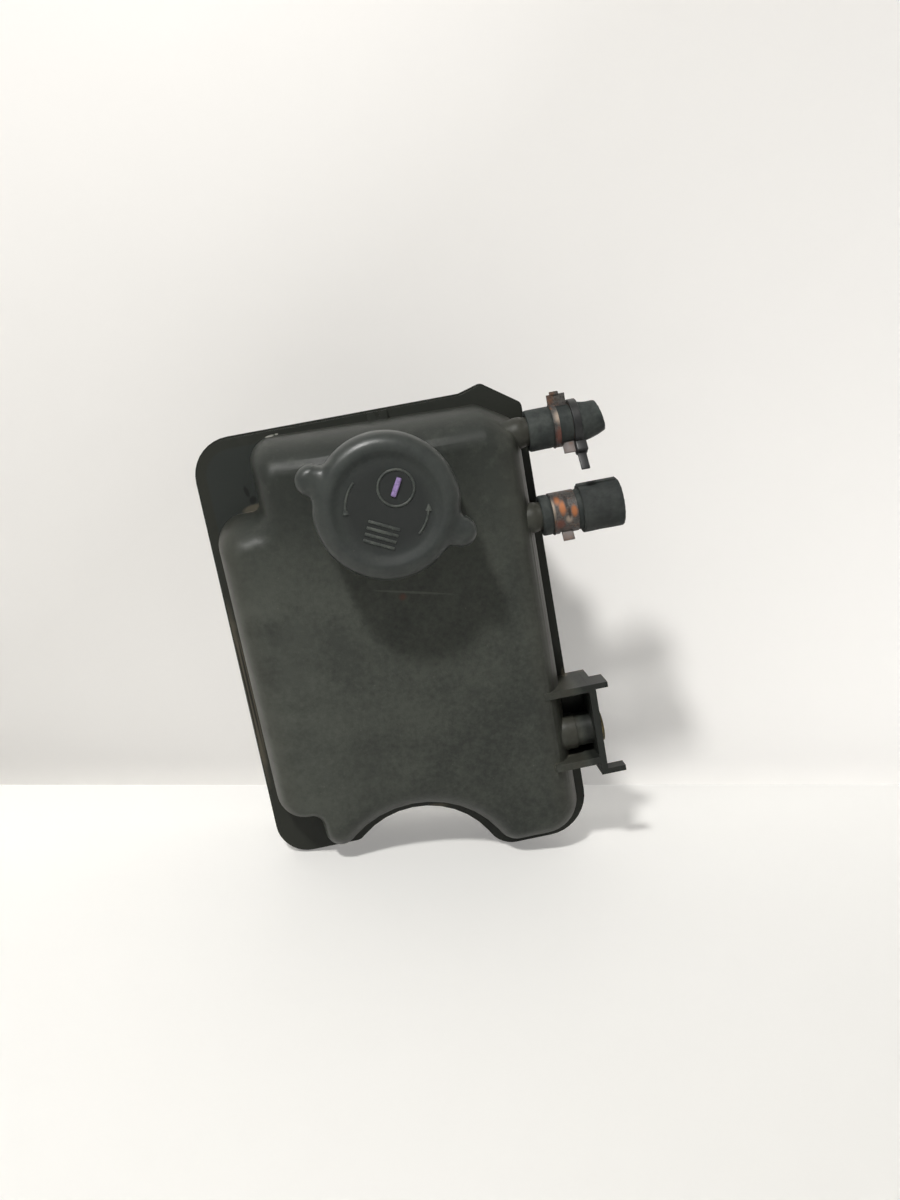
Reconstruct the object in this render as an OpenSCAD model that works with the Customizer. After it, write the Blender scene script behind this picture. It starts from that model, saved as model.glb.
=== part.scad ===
// Coolant expansion tank: two moulded half shells welded at a flange, a screw cap with two
// ears and a relief cartridge, two hose stubs with spring clamps, and a bolted side bracket.
// It stands on its two feet, so the whole tank leans as far as the feet make it lean.
// Inside each module x runs along the top edge, z runs up the side edge, and the front is -y.

/* [Flange outline] */
// Width over the weld flange
tank_w = 144; // [136:0.5:154]
// Height of the top edge above the lower foot
top_z = 209.5; // [200:0.5:220]
// Height of the raised corner above the top edge
peak_rise = 2.8; // [1:0.1:5]
// Distance of the raised corner from the right edge
peak_in = 16.4; // [13:0.1:20]
// Drop of the chamfer from the raised corner to the right edge
chamfer_drop = 11.3; // [8:0.1:15]
// Height of the left foot above the right foot
foot_step = 17; // [12:0.5:22]
// Radius of the upper left corner
corner_r = 17; // [12:0.5:22]
// Radius of the left foot's outer corner
left_foot_r = 14.5; // [11:0.5:18]
// Radius of the right foot's outer corner
right_foot_r = 19; // [14:0.5:22]
// Radius of the right foot's inner corner
inner_foot_r = 12; // [9:0.5:13]
// Radius of the arch between the feet
arch_r = 39; // [36:0.5:42]
// Height of the arch above the lower foot
arch_h = 27; // [25:0.5:29]
// Distance of the arch's centre to the left of the tank's middle
arch_off = 9; // [6:0.5:12]

/* [Shells] */
// Width of the weld flange beside the shells
flange_w = 4.4; // [3.6:0.1:5]
// Thickness of each half of the weld flange
flange_t = 2.2; // [1.6:0.1:3]
// Step from the rear half of the flange in to the front half
seam_step = 0.9; // [0.6:0.1:1.2]
// Wall thickness of the shells
wall = 2.6; // [2:0.1:3]
// Depth of the front shell at its lower end
front_d_low = 19; // [17:0.5:22]
// Depth of the front shell at its upper end
front_d_high = 33; // [31:0.5:35]
// Depth of the rear shell
rear_d = 44; // [38:0.5:50]
// Width of the rounding along edges that face up
round_top = 17; // [13:0.5:19]
// Width of the rounding along the sides
round_side = 9; // [7:0.5:10]
// Width of the rounding along the feet and the arch
round_foot = 12; // [9:0.5:13]
// Radius of the rounding around the back
round_rear = 9; // [6:0.5:11]
// Draft of the rear shell's sides
rear_draft = 2; // [1:0.1:3]
// Width of the flat corner left free at the upper left
notch_w = 25; // [20:0.5:29]
// Height of the flat corner left free at the upper left
notch_h = 33; // [27:0.5:38]
// Width of the flat corner left free at the left foot
foot_notch_w = 21.5; // [19:0.5:24]
// Height of the flat corner left free at the left foot
foot_notch_h = 20.5; // [18:0.5:23]
// Distance that the feet reach behind the flange
foot_d = 30; // [20:0.5:34]
// Thickness of the feet and of the ribs that brace them
foot_t = 2.4; // [1.8:0.1:3]
// Distance that the feet stand out below the flange
foot_proud = 0.3; // [0.2:0.05:0.5]
// Distance of the notched block to the right of the tank's middle
block_x = 9.6; // [0:0.1:14]
// Width of the notched block on the top flange
block_w = 8.7; // [6:0.1:12]
// Height of the notched block on the top flange
block_h = 5; // [4:0.1:7]
// Distance that the notched block stands out from the flange
block_d = 3; // [2:0.1:4]
// Width and depth of its notch
block_notch = 3.2; // [2:0.1:3.6]

/* [Filler neck] */
// Distance of the neck to the right of the tank's middle
neck_x = 6; // [0:0.5:10]
// Distance of the neck's axis below the top edge
neck_drop = 36; // [33.5:0.1:41.5]
// Radius of the neck's bore
neck_bore_r = 20; // [18:0.1:20.6]
// Wall thickness of the neck
neck_wall = 2.8; // [2.2:0.1:3.2]
// Distance of the neck's lip in front of the weld plane
lip_y = 50; // [46:0.5:53]
// Width of the collar at the neck's root
neck_collar_w = 2.4; // [1.5:0.1:3]
// Half the width and the height of the bead around the neck's lip
lip_bead_h = 1; // [0.6:0.1:1.4]

/* [Cap] */
// Gap between the neck's bead and the cap's skirt
cap_gap = 2.3; // [1.3:0.1:4]
// Height of the cap along its axis
cap_h = 21.5; // [19.5:0.5:23]
// Wall thickness of the cap's skirt
cap_wall = 2.4; // [1.8:0.1:2.8]
// Thickness of the cap's front wall
cap_front_t = 2.4; // [2:0.1:3]
// Width of the slope from the cap's rim down to the recessed disc
cap_slope_w = 4.7; // [3.5:0.1:6]
// Depth of the recessed disc
cap_disc_d = 1.8; // [1:0.1:2.4]
// Rounding of the cap's front edge
cap_edge_r = 6; // [5:0.1:6.5]
// Distance of the ears' middle past the cap's rim
ear_past = 1.7; // [0.5:0.1:3.5]
// Radius of the ears
ear_r = 6.1; // [5:0.1:7]
// Length of the ears along the axis
ear_h = 13; // [9:0.5:16]
// Angle of the ears below the tank's top edge
ear_angle = 29.4; // [0:0.1:60]

/* [Relief cartridge] */
// Radius of the plug's head, which the cap turns on
head_r = 16.4; // [15:0.1:17]
// Height of the plug's head
head_h = 5; // [4:0.1:5.5]
// Radius of the cartridge's flange on the neck's lip
cartridge_flange_r = 22; // [21.4:0.1:23]
// Thickness of the cartridge's flange
cartridge_flange_t = 2; // [1.6:0.1:2.4]
// Length of the cartridge inside the neck
cartridge_l = 20; // [18:0.5:24]
// Wall thickness of the cartridge
cartridge_wall = 4; // [3.6:0.1:4.4]
// Distance of the sealing ring behind the neck's lip
ring_in = 5; // [4:0.1:8]
// Thickness of the cartridge's floor
cartridge_floor_t = 2.4; // [2:0.1:3]
// Thickness of the sealing ring
ring_t = 2.4; // [2:0.1:2.8]
// Thickness of the flat lip seal
lip_seal_t = 1.2; // [0.8:0.1:1.6]
// Radius of the relief opening in the cartridge's floor
relief_hole_r = 8; // [6:0.1:9]
// Radius of the relief plunger
relief_r = 12; // [11:0.1:13]
// Thickness of the relief plunger
relief_t = 2; // [1.6:0.1:2.6]
// Thickness of the relief seal
relief_seal_t = 0.8; // [0.6:0.1:1.2]
// Wire thickness of the relief spring
relief_wire = 1.3; // [1:0.1:1.6]
// Coil radius of the relief spring
relief_coil_r = 9; // [8:0.1:10]
// Number of turns of the relief spring
relief_turns = 4.5; // [3:0.5:6]
// Distance that the spring plug reaches into the cartridge
retainer_t = 3.6; // [3:0.1:5]
// Radius of the vent hole in the middle of the spring plug
retainer_hole_r = 5; // [4:0.1:6]
// Radius of the vacuum valve's head
vacuum_r = 4.6; // [4:0.1:6]
// Thickness of the vacuum valve's head
vacuum_t = 1.2; // [0.8:0.1:1.6]
// Radius of the vacuum valve's stem
stem_r = 1.4; // [1:0.1:1.8]
// Length of the vacuum valve's stem past the plunger
stem_l = 6; // [5:0.1:7]
// Wire thickness of the vacuum spring
vacuum_wire = 0.5; // [0.4:0.05:0.6]
// Number of turns of the vacuum spring
vacuum_turns = 4; // [3:0.5:5]
// Coil radius of the vacuum spring
vacuum_coil_r = 2.3; // [2.1:0.05:2.8]
// Radius of the clip at the end of the vacuum valve's stem
clip_r = 3; // [2.8:0.1:3.6]
// Thickness of the clip at the end of the vacuum valve's stem
clip_t = 0.8; // [0.6:0.1:1]

/* [Nipples and hoses] */
// Distance of the upper nipple below the top edge
upper_drop = 20.1; // [18.5:0.1:23.5]
// Distance between the two nipples
nipple_pitch = 36; // [32.4:0.1:43]
// Distance of the nipples in front of the weld plane
nipple_y = 20; // [18:0.5:21]
// Outer radius of the nipples
nipple_r = 6; // [5.5:0.1:6.4]
// Radius of the nipples' bore
nipple_bore_r = 4; // [3:0.1:4.4]
// Distance that the nipples reach past the weld flange
nipple_l = 20; // [16:0.5:23]
// Height of the barb at the nipples' ends
barb_h = 0.5; // [0.3:0.1:0.6]
// Length of the barb at the nipples' ends
barb_l = 3; // [2:0.1:4]
// Width of the rounded shoulder at the nipples' roots
nipple_shoulder = 0.6; // [0.3:0.1:1]
// Gap between the shell's side and the hoses
hose_gap = 1.5; // [1:0.1:3]
// Depth that a clamp presses into its hose
hose_pinch = 0.6; // [0.3:0.1:0.8]
// Length over which a hose narrows beside its clamp
hose_flare = 0.8; // [0.5:0.1:1]
// Wall thickness of the hoses over the nipples
hose_wall = 2.6; // [2.2:0.1:3]
// Length of the upper hose
upper_hose_l = 31.5; // [30:0.5:36]
// Outer radius of the upper hose at its free end
upper_end_r = 6.6; // [6.2:0.1:7.2]
// Length of the lower hose
lower_hose_l = 33; // [31:0.5:38]
// Length of the sleeve on the lower hose
sleeve_l = 17.5; // [15:0.5:20]
// Outer radius of the sleeve
sleeve_r = 10.3; // [9.8:0.1:11]
// Distance that the lower hose stays behind the sleeve's end
sleeve_over = 1.6; // [1:0.1:3]

/* [Clamps] */
// Width of the clamp bands
band_w = 10.5; // [9:0.5:11.5]
// Thickness of the clamp bands
band_t = 0.9; // [0.7:0.05:1.2]
// Distance of the upper clamp from the hose's end at the shell
upper_clamp_at = 10.5; // [9:0.5:12]
// Distance of the lower clamp from the hose's end at the shell
lower_clamp_at = 4.5; // [4:0.5:5]
// Height of the clamps' tangs
tang_h = 5; // [4:0.1:6]
// Width of the clamps' wide tang
tang_w = 7.6; // [6:0.1:7.7]
// Width of the clamps' narrow tang
tongue_w = 4.8; // [4:0.1:5]
// Width of the slot between the arms of the clamps' fork
fork_gap = 5.6; // [5.4:0.1:7]
// Angle of the narrow tangs around the hoses, from straight down towards the front
tang_turn = 30; // [20:5:45]
// Angle of the band that the slot takes up
fork_angle = 150; // [120:5:160]

/* [Cable tie] */
// Width of the cable tie's strap
tie_w = 3.6; // [3.2:0.1:4]
// Width of the clamp's band that the cable tie covers
tie_over = 2.7; // [2:0.1:2.7]
// Thickness of the cable tie's strap
tie_t = 1.1; // [0.9:0.1:1.3]
// Length of the cable tie's head
tie_head = 5; // [4:0.1:6]
// Length of the cable tie's loose end
tie_tail = 5; // [4:0.5:12]
// Angle of the cable tie's head around the hose, from straight down towards the front
tie_angle = 30; // [0:5:60]

/* [Bracket] */
// Height of the bolt hole above the lower foot
bolt_z = 53.5; // [50:0.5:57]
// Distance of the bolt hole in front of the weld plane
bolt_y = 12; // [11:0.5:13]
// Distance of the mounting plate's face past the weld flange
plate_out = 8.5; // [7:0.5:11]
// Thickness of the mounting plate
plate_t = 3; // [2.4:0.1:3.6]
// Distance of the plate's upper end above the bolt hole
plate_up = 23.4; // [22:0.1:26]
// Distance of the plate's lower end below the bolt hole
plate_down = 18.7; // [17:0.1:20]
// Distance of the bracket's front edge in front of the weld plane
bracket_d = 24.4; // [23:0.1:24.8]
// Thickness of the bracket's webs
web_t = 3.2; // [2:0.1:3.4]
// Distance of the lower web above the plate's lower end
web_in = 5.2; // [4:0.1:5.5]
// Outer radius of the boss around the insert
boss_r = 7.4; // [6.8:0.1:7.6]
// Outer radius of the boss's rounded root
boss_root_r = 8.2; // [7.8:0.1:8.6]
// Length of the upper prong on the plate
upper_prong_l = 5.5; // [4:0.5:10]
// Width of the upper prong on the plate
upper_prong_w = 12.5; // [8:0.5:14]
// Length of the lower prong on the plate
lower_prong_l = 8; // [4:0.5:10]
// Width of the lower prong on the plate
lower_prong_w = 6; // [4:0.5:14]
// Thickness of the prongs on the plate
prong_t = 2.4; // [1.8:0.1:3]
// Radius of the insert's thread hole
insert_bore_r = 2.5; // [2:0.05:3]
// Radius of the insert's body
insert_r = 4.2; // [3.8:0.1:4.8]
// Length of the insert's body
insert_l = 12; // [10:0.5:13]
// Radius of the insert's rim
rim_r = 7; // [6.2:0.1:7.2]
// Thickness of the insert's rim
rim_t = 2; // [1:0.1:2.5]

/* [Clearances] */
// Gap between a turning or sliding piece and its bearing
run_gap = 0.06; // [0.03:0.01:0.09]
// Gap between a soft piece and what it lies on
rest_gap = 0.3; // [0.2:0.05:0.35]
// Gap between the cartridge and the neck
neck_gap = 0.5; // [0.4:0.05:0.6]

/* [Hidden] */

round_fn = 96;
small_fn = 48;
hull_fn = 32;
step_deg = 11;
front_rings = 8;
rear_rings = 5;
inner_rings = 4;

right_x = tank_w / 2;
left_x = -tank_w / 2;
mid_z = top_z / 2;
neck_z = top_z - neck_drop;
upper_z = top_z - upper_drop;
lower_z = upper_z - nipple_pitch;
front_slope = (front_d_high - front_d_low) / top_z;

function unit(v) = v / norm(v);
function turned(v, q) = [v.x * cos(q) - v.y * sin(q), v.x * sin(q) + v.y * cos(q)];
function left_of(v) = [-v.y, v.x];
function edge_dir(pts, i) = unit(pts[(i + 1) % len(pts)] - pts[i]);

// The arch's two straight flanks meet at its apex, here for an outline moved in by d.
arch_left_slope = 40;
arch_right_slope = 60;
arch_mid = [-arch_off, arch_h - arch_r];
arch_tilt = (arch_right_slope - arch_left_slope) / 2;
arch_half = (arch_right_slope + arch_left_slope) / 2;
function arch_apex(d) = arch_mid + (arch_r + d) / cos(arch_half) * [sin(arch_tilt), cos(arch_tilt)];
function arch_end_x(d, h) = arch_apex(d).x + (arch_apex(d).y - h) / tan(arch_right_slope);
function arch_start_x(d, h) = arch_apex(d).x - (arch_apex(d).y - h) / tan(arch_left_slope);
function arch_flank_z(d, x) = arch_apex(d).y - (arch_apex(d).x - x) * tan(arch_left_slope);

// The two feet touch one level line, which gives the lean.
left_foot = [left_x + left_foot_r, foot_step + left_foot_r];
right_foot = [arch_end_x(0, 0) + inner_foot_r * tan(arch_right_slope / 2), inner_foot_r];
foot_span = right_foot - left_foot;
lean = asin((inner_foot_r - left_foot_r) / norm(foot_span)) - atan2(foot_span.y, foot_span.x);

// Corner points of the weld flange, anticlockwise from the lower right, moved in by d.
peak_foot_w = 10;
function flange_points(d) = [
    [right_x - d, d],
    [right_x - d, top_z + peak_rise - chamfer_drop - d],
    [right_x - peak_in - d / 2, top_z + peak_rise - d],
    [right_x - peak_in - peak_foot_w, top_z - d],
    [left_x + d, top_z - d],
    [left_x + d, foot_step + d],
    [arch_start_x(d, foot_step + d), foot_step + d],
    arch_apex(d),
    [arch_end_x(d, d), d]
];
peak_r = 3;
arch_start_r = 4;
function flange_radii(d) = [
    right_foot_r - d, peak_r, peak_r, peak_r, corner_r - d, left_foot_r - d, arch_start_r,
    arch_r + d, inner_foot_r - d
];
flange_steps = arc_steps(flange_points(0));

// Corner points of the shells, anticlockwise from the lower right.
shoulder_drop = 15;
body_peak_in = 20;
body_peak_drop = 5.5;
body_top_drop = 3;
foot_splay = 2;
notch_x = left_x + notch_w;
foot_notch_x = left_x + foot_notch_w;
foot_notch_z = foot_step + foot_notch_h;
body_points = [
    [right_x - flange_w, flange_w],
    [right_x - flange_w, top_z - shoulder_drop],
    [right_x - body_peak_in, top_z - body_peak_drop],
    [notch_x, top_z - body_top_drop],
    [notch_x, top_z - notch_h],
    [left_x + flange_w, top_z - notch_h],
    [left_x + flange_w, foot_notch_z],
    [foot_notch_x, foot_notch_z],
    [foot_notch_x + foot_splay, arch_flank_z(flange_w, foot_notch_x + foot_splay)],
    arch_apex(flange_w),
    [arch_end_x(flange_w, flange_w), flange_w]
];
// Radii of those corners, in the same order.
body_radii = [16, 8, 8, 10, 4, 12, 13, 5, 7.5, arch_r + flange_w, 9];

// Widths of the roundings along the edges that start at each corner point.
front_rounds = [
    round_side, round_top - 2, round_top, round_side, round_top - 2, round_side,
    round_side - 2, round_side - 3, round_foot, round_foot, round_foot
];
rear_rounds = [for (p = body_points) round_rear];

// One corner point moved in from both of its edges.
function moved_corner(pts, i, insets) =
    let (n = len(pts), a = left_of(edge_dir(pts, (i + n - 1) % n)), b = left_of(edge_dir(pts, i)))
    let (da = insets[(i + n - 1) % n], db = insets[i], k = a.x * b.y - a.y * b.x)
    pts[i] + [(da * b.y - db * a.y) / k, (a.x * db - b.x * da) / k];
function moved_in(pts, insets) = [for (i = [0:len(pts) - 1]) moved_corner(pts, i, insets)];

// Points of the arc that rounds one corner.
function corner_arc(a, p, b, r, n) =
    let (u = unit(p - a), v = unit(b - p), turn = atan2(u.x * v.y - u.y * v.x, u * v))
    let (s = sign(turn), start = p - r * tan(abs(turn) / 2) * u, mid = start + s * r * left_of(u))
    [for (i = [0:n]) mid + turned(start - mid, turn * i / n)];
function corner_turn(pts, i) =
    let (u = edge_dir(pts, (i + len(pts) - 1) % len(pts)), v = edge_dir(pts, i))
    atan2(u.x * v.y - u.y * v.x, u * v);
// A corner's radius, made smaller where its arc and the next one would meet on their edge.
edge_share = 0.98;
function tangent_l(pts, radii, i) = radii[i] * tan(abs(corner_turn(pts, i)) / 2);
function edge_fit(pts, radii, i, j) =
    edge_share * norm(pts[i] - pts[j]) / (tangent_l(pts, radii, i) + tangent_l(pts, radii, j));
function fitting_r(pts, radii, i) =
    let (n = len(pts), before = (i + n - 1) % n, after = (i + 1) % n)
    radii[i] * min(1, edge_fit(pts, radii, i, before), edge_fit(pts, radii, i, after));
function rounded(pts, radii, steps) = [
    for (i = [0:len(pts) - 1])
        let (n = len(pts), a = pts[(i + n - 1) % n], b = pts[(i + 1) % n])
        each corner_arc(a, pts[i], b, fitting_r(pts, radii, i), steps[i])
];
function arc_steps(pts) =
    [for (i = [0:len(pts) - 1]) max(2, ceil(abs(corner_turn(pts, i)) / step_deg))];
body_steps = arc_steps(body_points);

// One ring of a shell's skin, inset by base plus a share of each edge's rounding.
min_ring_r = 2;
function ring_radius(i, insets) =
    let (mean = (insets[(i + len(insets) - 1) % len(insets)] + insets[i]) / 2)
    corner_turn(body_points, i) > 0 ?
        max(body_radii[i] - mean / 2, min_ring_r) : body_radii[i] + mean / 2;
function ring_outline(base, rounds, share) =
    let (insets = [for (w = rounds) base + w * share])
    let (radii = [for (i = [0:len(insets) - 1]) ring_radius(i, insets)])
    rounded(moved_in(body_points, insets), radii, body_steps);

function front_depth(z) = front_d_low + front_slope * z;
function front_ring(thin, phi) =
    [for (p = ring_outline(thin, front_rounds, 1 - cos(phi)))
        [p.x, -(front_depth(p.y) - thin) * sin(phi), p.y]];
function rear_ring(thin, phi) =
    [for (p = ring_outline(thin + rear_draft, rear_rounds, 1 - cos(phi)))
        [p.x, rear_d - thin - round_rear * (1 - sin(phi)), p.y]];
function rear_rim(thin) = [for (p = ring_outline(thin, rear_rounds, 0)) [p.x, 0, p.y]];

front_outer = [for (k = [0:front_rings]) front_ring(0, 90 * k / front_rings)];
front_inner = [for (k = [inner_rings:-1:0]) front_ring(wall, 90 * k / inner_rings)];
rear_outer = concat([rear_rim(0)], [for (k = [0:rear_rings]) rear_ring(0, 90 * k / rear_rings)]);
rear_inner = concat(
    [for (k = [inner_rings:-1:0]) rear_ring(wall, 90 * k / inner_rings)], [rear_rim(wall)]
);

// A closed cup from rings that run down its outside and back up its inside, closed to a middle
// point that every point of the outline can be seen from.
module cup(outer, inner, outer_mid, inner_mid, flip) {
    n = len(outer[0]);
    m = len(outer) + len(inner);
    last_out = len(outer) - 1;
    walls = [
        for (k = [0:m - 1], i = [0:n - 1])
            if (k != last_out)
                let (j = (i + 1) % n, up = (k + 1) % m)
                [k * n + i, k * n + j, up * n + j, up * n + i]
    ];
    outer_face = [for (i = [0:n - 1]) [last_out * n + i, last_out * n + (i + 1) % n, m * n]];
    inner_face = [
        for (i = [0:n - 1]) [(last_out + 1) * n + (i + 1) % n, (last_out + 1) * n + i, m * n + 1]
    ];
    faces = concat(walls, outer_face, inner_face);
    polyhedron(
        concat([for (r = concat(outer, inner)) each r], [outer_mid, inner_mid]),
        [for (f = faces) flip ? [for (i = [len(f) - 1:-1:0]) f[i]] : f]
    );
}

// A flat plate from an outline in x and z, from y0 back to y1.
module upright_plate(outline, y0, y1) {
    translate([0, y1, 0])
        rotate([90, 0, 0])
            linear_extrude(y1 - y0)
                polygon(outline);
}

// One half of the weld flange, open in the middle.
module flange_half(d, y0, y1) {
    difference() {
        upright_plate(rounded(flange_points(d), flange_radii(d), flange_steps), y0, y1);
        upright_plate(ring_outline(wall / 2, rear_rounds, 0), y0 - 1, y1 + 1);
    }
}

// Axes that the round pieces lie on: the neck's towards the front, the hoses' towards the right.
module on_neck(t) {
    translate([neck_x, -t, neck_z])
        rotate([90, 0, 0])
            children();
}
module on_side(x, y, z) {
    translate([x, -y, z])
        rotate([0, 90, 0])
            children();
}
module tube(r, bore, l) {
    difference() {
        cylinder(r = r, h = l);
        translate([0, 0, -1])
            cylinder(r = bore, h = l + 2);
    }
}

// Turns the tank so that both feet stand level, with the bolt hole's mouth at the origin.
plate_x = right_x + plate_out;
module standing() {
    rotate([0, -lean, 0])
        translate([-(plate_x + rim_t), bolt_y, -bolt_z])
            children();
}

neck_r = neck_bore_r + neck_wall;
neck_root = front_depth(neck_z) - wall;
module neck() {
    on_neck(neck_root)
        cylinder(r = neck_r, h = lip_y - neck_root, $fn = round_fn);
    on_neck(front_depth(neck_z - neck_r))
        cylinder(r1 = neck_r + neck_collar_w, r2 = neck_r, h = 2 * neck_collar_w, $fn = round_fn);
    on_neck(lip_y - 2 * lip_bead_h)
        cylinder(r = neck_r + lip_bead_h, h = 2 * lip_bead_h, $fn = round_fn);
}

nipple_start = right_x - flange_w - round_side;
nipple_root_r = nipple_r + nipple_shoulder;
module nipple(z) {
    on_side(nipple_start, nipple_y, z)
        cylinder(r = nipple_r, h = right_x + nipple_l - nipple_start, $fn = small_fn);
    on_side(right_x + nipple_l - barb_l, nipple_y, z)
        cylinder(r1 = nipple_r + barb_h, r2 = nipple_r, h = barb_l, $fn = small_fn);
    translate([nipple_start + nipple_root_r, -nipple_y, z])
        sphere(r = nipple_root_r, $fn = small_fn);
}
module nipple_bore(z) {
    on_side(nipple_start - 1, nipple_y, z)
        cylinder(r = nipple_bore_r, h = nipple_l + right_x, $fn = small_fn);
}

plate_low = bolt_z - plate_down;
plate_high = bolt_z + plate_up;
web_x = right_x - flange_w - round_side - 1;
module web(z) {
    translate([web_x, -bracket_d, z])
        cube([plate_x - plate_t / 2 - web_x, bracket_d, web_t]);
}
module bracket() {
    web(plate_high - web_t);
    web(plate_low + web_in);
    translate([right_x - flange_w, -flange_t, plate_low + web_in])
        cube([plate_x - plate_t / 2 - right_x + flange_w, flange_t, plate_high - plate_low - web_in]);
    translate([plate_x - plate_t, -bracket_d, plate_low])
        cube([plate_t, bracket_d, plate_high - plate_low]);
    on_side(web_x + boss_root_r, bolt_y, bolt_z)
        cylinder(r = boss_r, h = plate_x - plate_t / 2 - web_x - boss_root_r, $fn = small_fn);
    on_side(web_x + boss_root_r, bolt_y, bolt_z)
        cylinder(r = boss_root_r, h = flange_w, $fn = small_fn);
    translate([web_x + boss_root_r, -bolt_y, bolt_z])
        sphere(r = boss_root_r, $fn = small_fn);
    translate([plate_x - plate_t / 2, -bracket_d, plate_high - prong_t])
        cube([upper_prong_l + plate_t / 2, upper_prong_w, prong_t]);
    translate([plate_x - plate_t / 2, -bracket_d, plate_low])
        cube([lower_prong_l + plate_t / 2, lower_prong_w, prong_t]);
}
module insert_hole() {
    on_side(plate_x - insert_l, bolt_y, bolt_z)
        cylinder(r = insert_r, h = insert_l + 1, $fn = small_fn);
}

// A block on the top flange with a notch that opens upwards.
module notched_block() {
    block_z = top_z - seam_step - block_h;
    translate([block_x - block_w / 2, 0, block_z])
        rotate([90, 0, 0])
            linear_extrude(flange_t + block_d)
                polygon([
                    [0, 0], [block_w, 0], [block_w, block_h], [(block_w + block_notch) / 2, block_h],
                    [block_w / 2, block_h - block_notch], [(block_w - block_notch) / 2, block_h], [0, block_h]
                ]);
}

module front_shell() {
    color("#2b302e")
        standing()
            difference() {
                union() {
                    cup(
                        front_outer, front_inner, [0, -front_depth(mid_z), mid_z],
                        [0, wall - front_depth(mid_z), mid_z], true
                    );
                    flange_half(seam_step, -flange_t, 0);
                    notched_block();
                    neck();
                    nipple(upper_z);
                    nipple(lower_z);
                    bracket();
                }
                on_neck(neck_root - 1)
                    cylinder(r = neck_bore_r, h = lip_y - neck_root + 2, $fn = round_fn);
                nipple_bore(upper_z);
                nipple_bore(lower_z);
                insert_hole();
            }
}

// A foot follows the flange's rounded corner and reaches back under the rear shell.
foot_sweep = 44;
module foot(mid, r, rib_top) {
    translate([mid.x, foot_d, mid.y])
        rotate([90, 0, 0])
            rotate([0, 0, -90 - lean - foot_sweep / 2])
                rotate_extrude(angle = foot_sweep, $fn = round_fn)
                    translate([r - foot_t, 0])
                        square([foot_t, foot_d - flange_t / 2]);
    translate([mid.x - foot_t / 2, flange_t / 2, mid.y - r + foot_t / 2])
        rotate([90, 0, 90])
            linear_extrude(foot_t)
                polygon([[0, 0], [foot_d - flange_t, 0], [0, rib_top]]);
}
module rear_shell() {
    color("#262b29")
        standing() {
            cup(
                rear_outer, rear_inner, [0, rear_d, mid_z], [0, rear_d - wall, mid_z], false
            );
            flange_half(0, 0, flange_t);
            foot(left_foot, left_foot_r + foot_proud, left_foot_r);
            foot(right_foot, inner_foot_r + foot_proud, 2 * flange_w);
        }
}

// Places along the neck's axis, counted from the weld plane towards the front.
flange_at = lip_y + lip_seal_t + rest_gap;
head_at = flange_at + cartridge_flange_t;
cap_inside = cap_h - cap_disc_d - cap_front_t;
cap_base = head_at + head_h + run_gap - cap_inside;
cap_r = neck_r + lip_bead_h + cap_gap + cap_wall;
cap_top_r = cap_r - cap_edge_r;
cap_disc_r = cap_top_r - cap_slope_w;
ear_out = cap_r + ear_past;
arc_n = 8;
cap_profile = concat(
    [[cap_r - cap_wall, 0], [cap_r, 0]],
    [for (i = [0:arc_n])
        let (q = 90 * i / arc_n)
        [cap_top_r + cap_edge_r * cos(q), cap_h - cap_edge_r + cap_edge_r * sin(q)]],
    [for (i = [1:arc_n])
        let (s = i / arc_n)
        [cap_top_r + (cap_disc_r - cap_top_r) * s, cap_h - cap_disc_d * (1 - cos(180 * s)) / 2]],
    [[0, cap_h - cap_disc_d]],
    [[0, cap_inside], [cap_r - cap_wall, cap_inside]]
);
ear_round = 4;
ear_chamfer = 1;
module ear_end(at, r) {
    translate([at, 0, 0])
        rotate_extrude($fn = hull_fn)
            polygon(concat(
                [[0, 0], [r - ear_chamfer, 0], [r, ear_chamfer]],
                [for (q = [0:18:90])
                    [r - ear_round * (1 - cos(q)), ear_h - ear_round * (1 - sin(q))]],
                [[0, ear_h]]
            ));
}
module ear(angle) {
    rotate([0, 0, angle])
        translate([0, 0, cap_h - ear_h - cap_disc_d])
            hull() {
                ear_end(cap_top_r, ear_r + ear_chamfer);
                ear_end(ear_out, ear_r);
            }
}
hub_r = head_r + run_gap;
module cap_shell() {
    color("#23272a")
        standing()
            on_neck(cap_base) {
                rotate_extrude($fn = round_fn)
                    polygon(cap_profile);
                translate([0, 0, cap_inside - head_h])
                    tube(hub_r + cap_wall, hub_r, head_h, $fn = round_fn);
                difference() {
                    union() {
                        ear(-ear_angle);
                        ear(180 - ear_angle);
                    }
                    translate([0, 0, -1])
                        cylinder(r = cap_r - cap_wall / 2, h = cap_inside + 1, $fn = round_fn);
                }
            }
}

barrel_r = neck_bore_r - neck_gap;
barrel_in = barrel_r - cartridge_wall;
floor_at = lip_y - cartridge_l;
seat_at = floor_at + cartridge_floor_t;
plunger_at = seat_at + relief_seal_t + rest_gap;
retainer_at = head_at - retainer_t;
ring_at = lip_y - ring_in;
ring_mid_r = neck_bore_r - rest_gap - ring_t / 2;
module valve_housing() {
    color("#1f2224")
        standing()
            difference() {
                union() {
                    on_neck(flange_at)
                        cylinder(r = cartridge_flange_r, h = cartridge_flange_t, $fn = round_fn);
                    on_neck(floor_at)
                        cylinder(r = barrel_r, h = flange_at - floor_at, $fn = round_fn);
                }
                on_neck(seat_at)
                    cylinder(r = barrel_in, h = head_at + 1 - seat_at, $fn = round_fn);
                on_neck(floor_at - 1)
                    cylinder(r = relief_hole_r, h = cartridge_floor_t + 2, $fn = small_fn);
                on_neck(ring_at)
                    tube(barrel_r + 1, ring_mid_r - ring_t / 2, ring_t, $fn = round_fn);
            }
}
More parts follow.
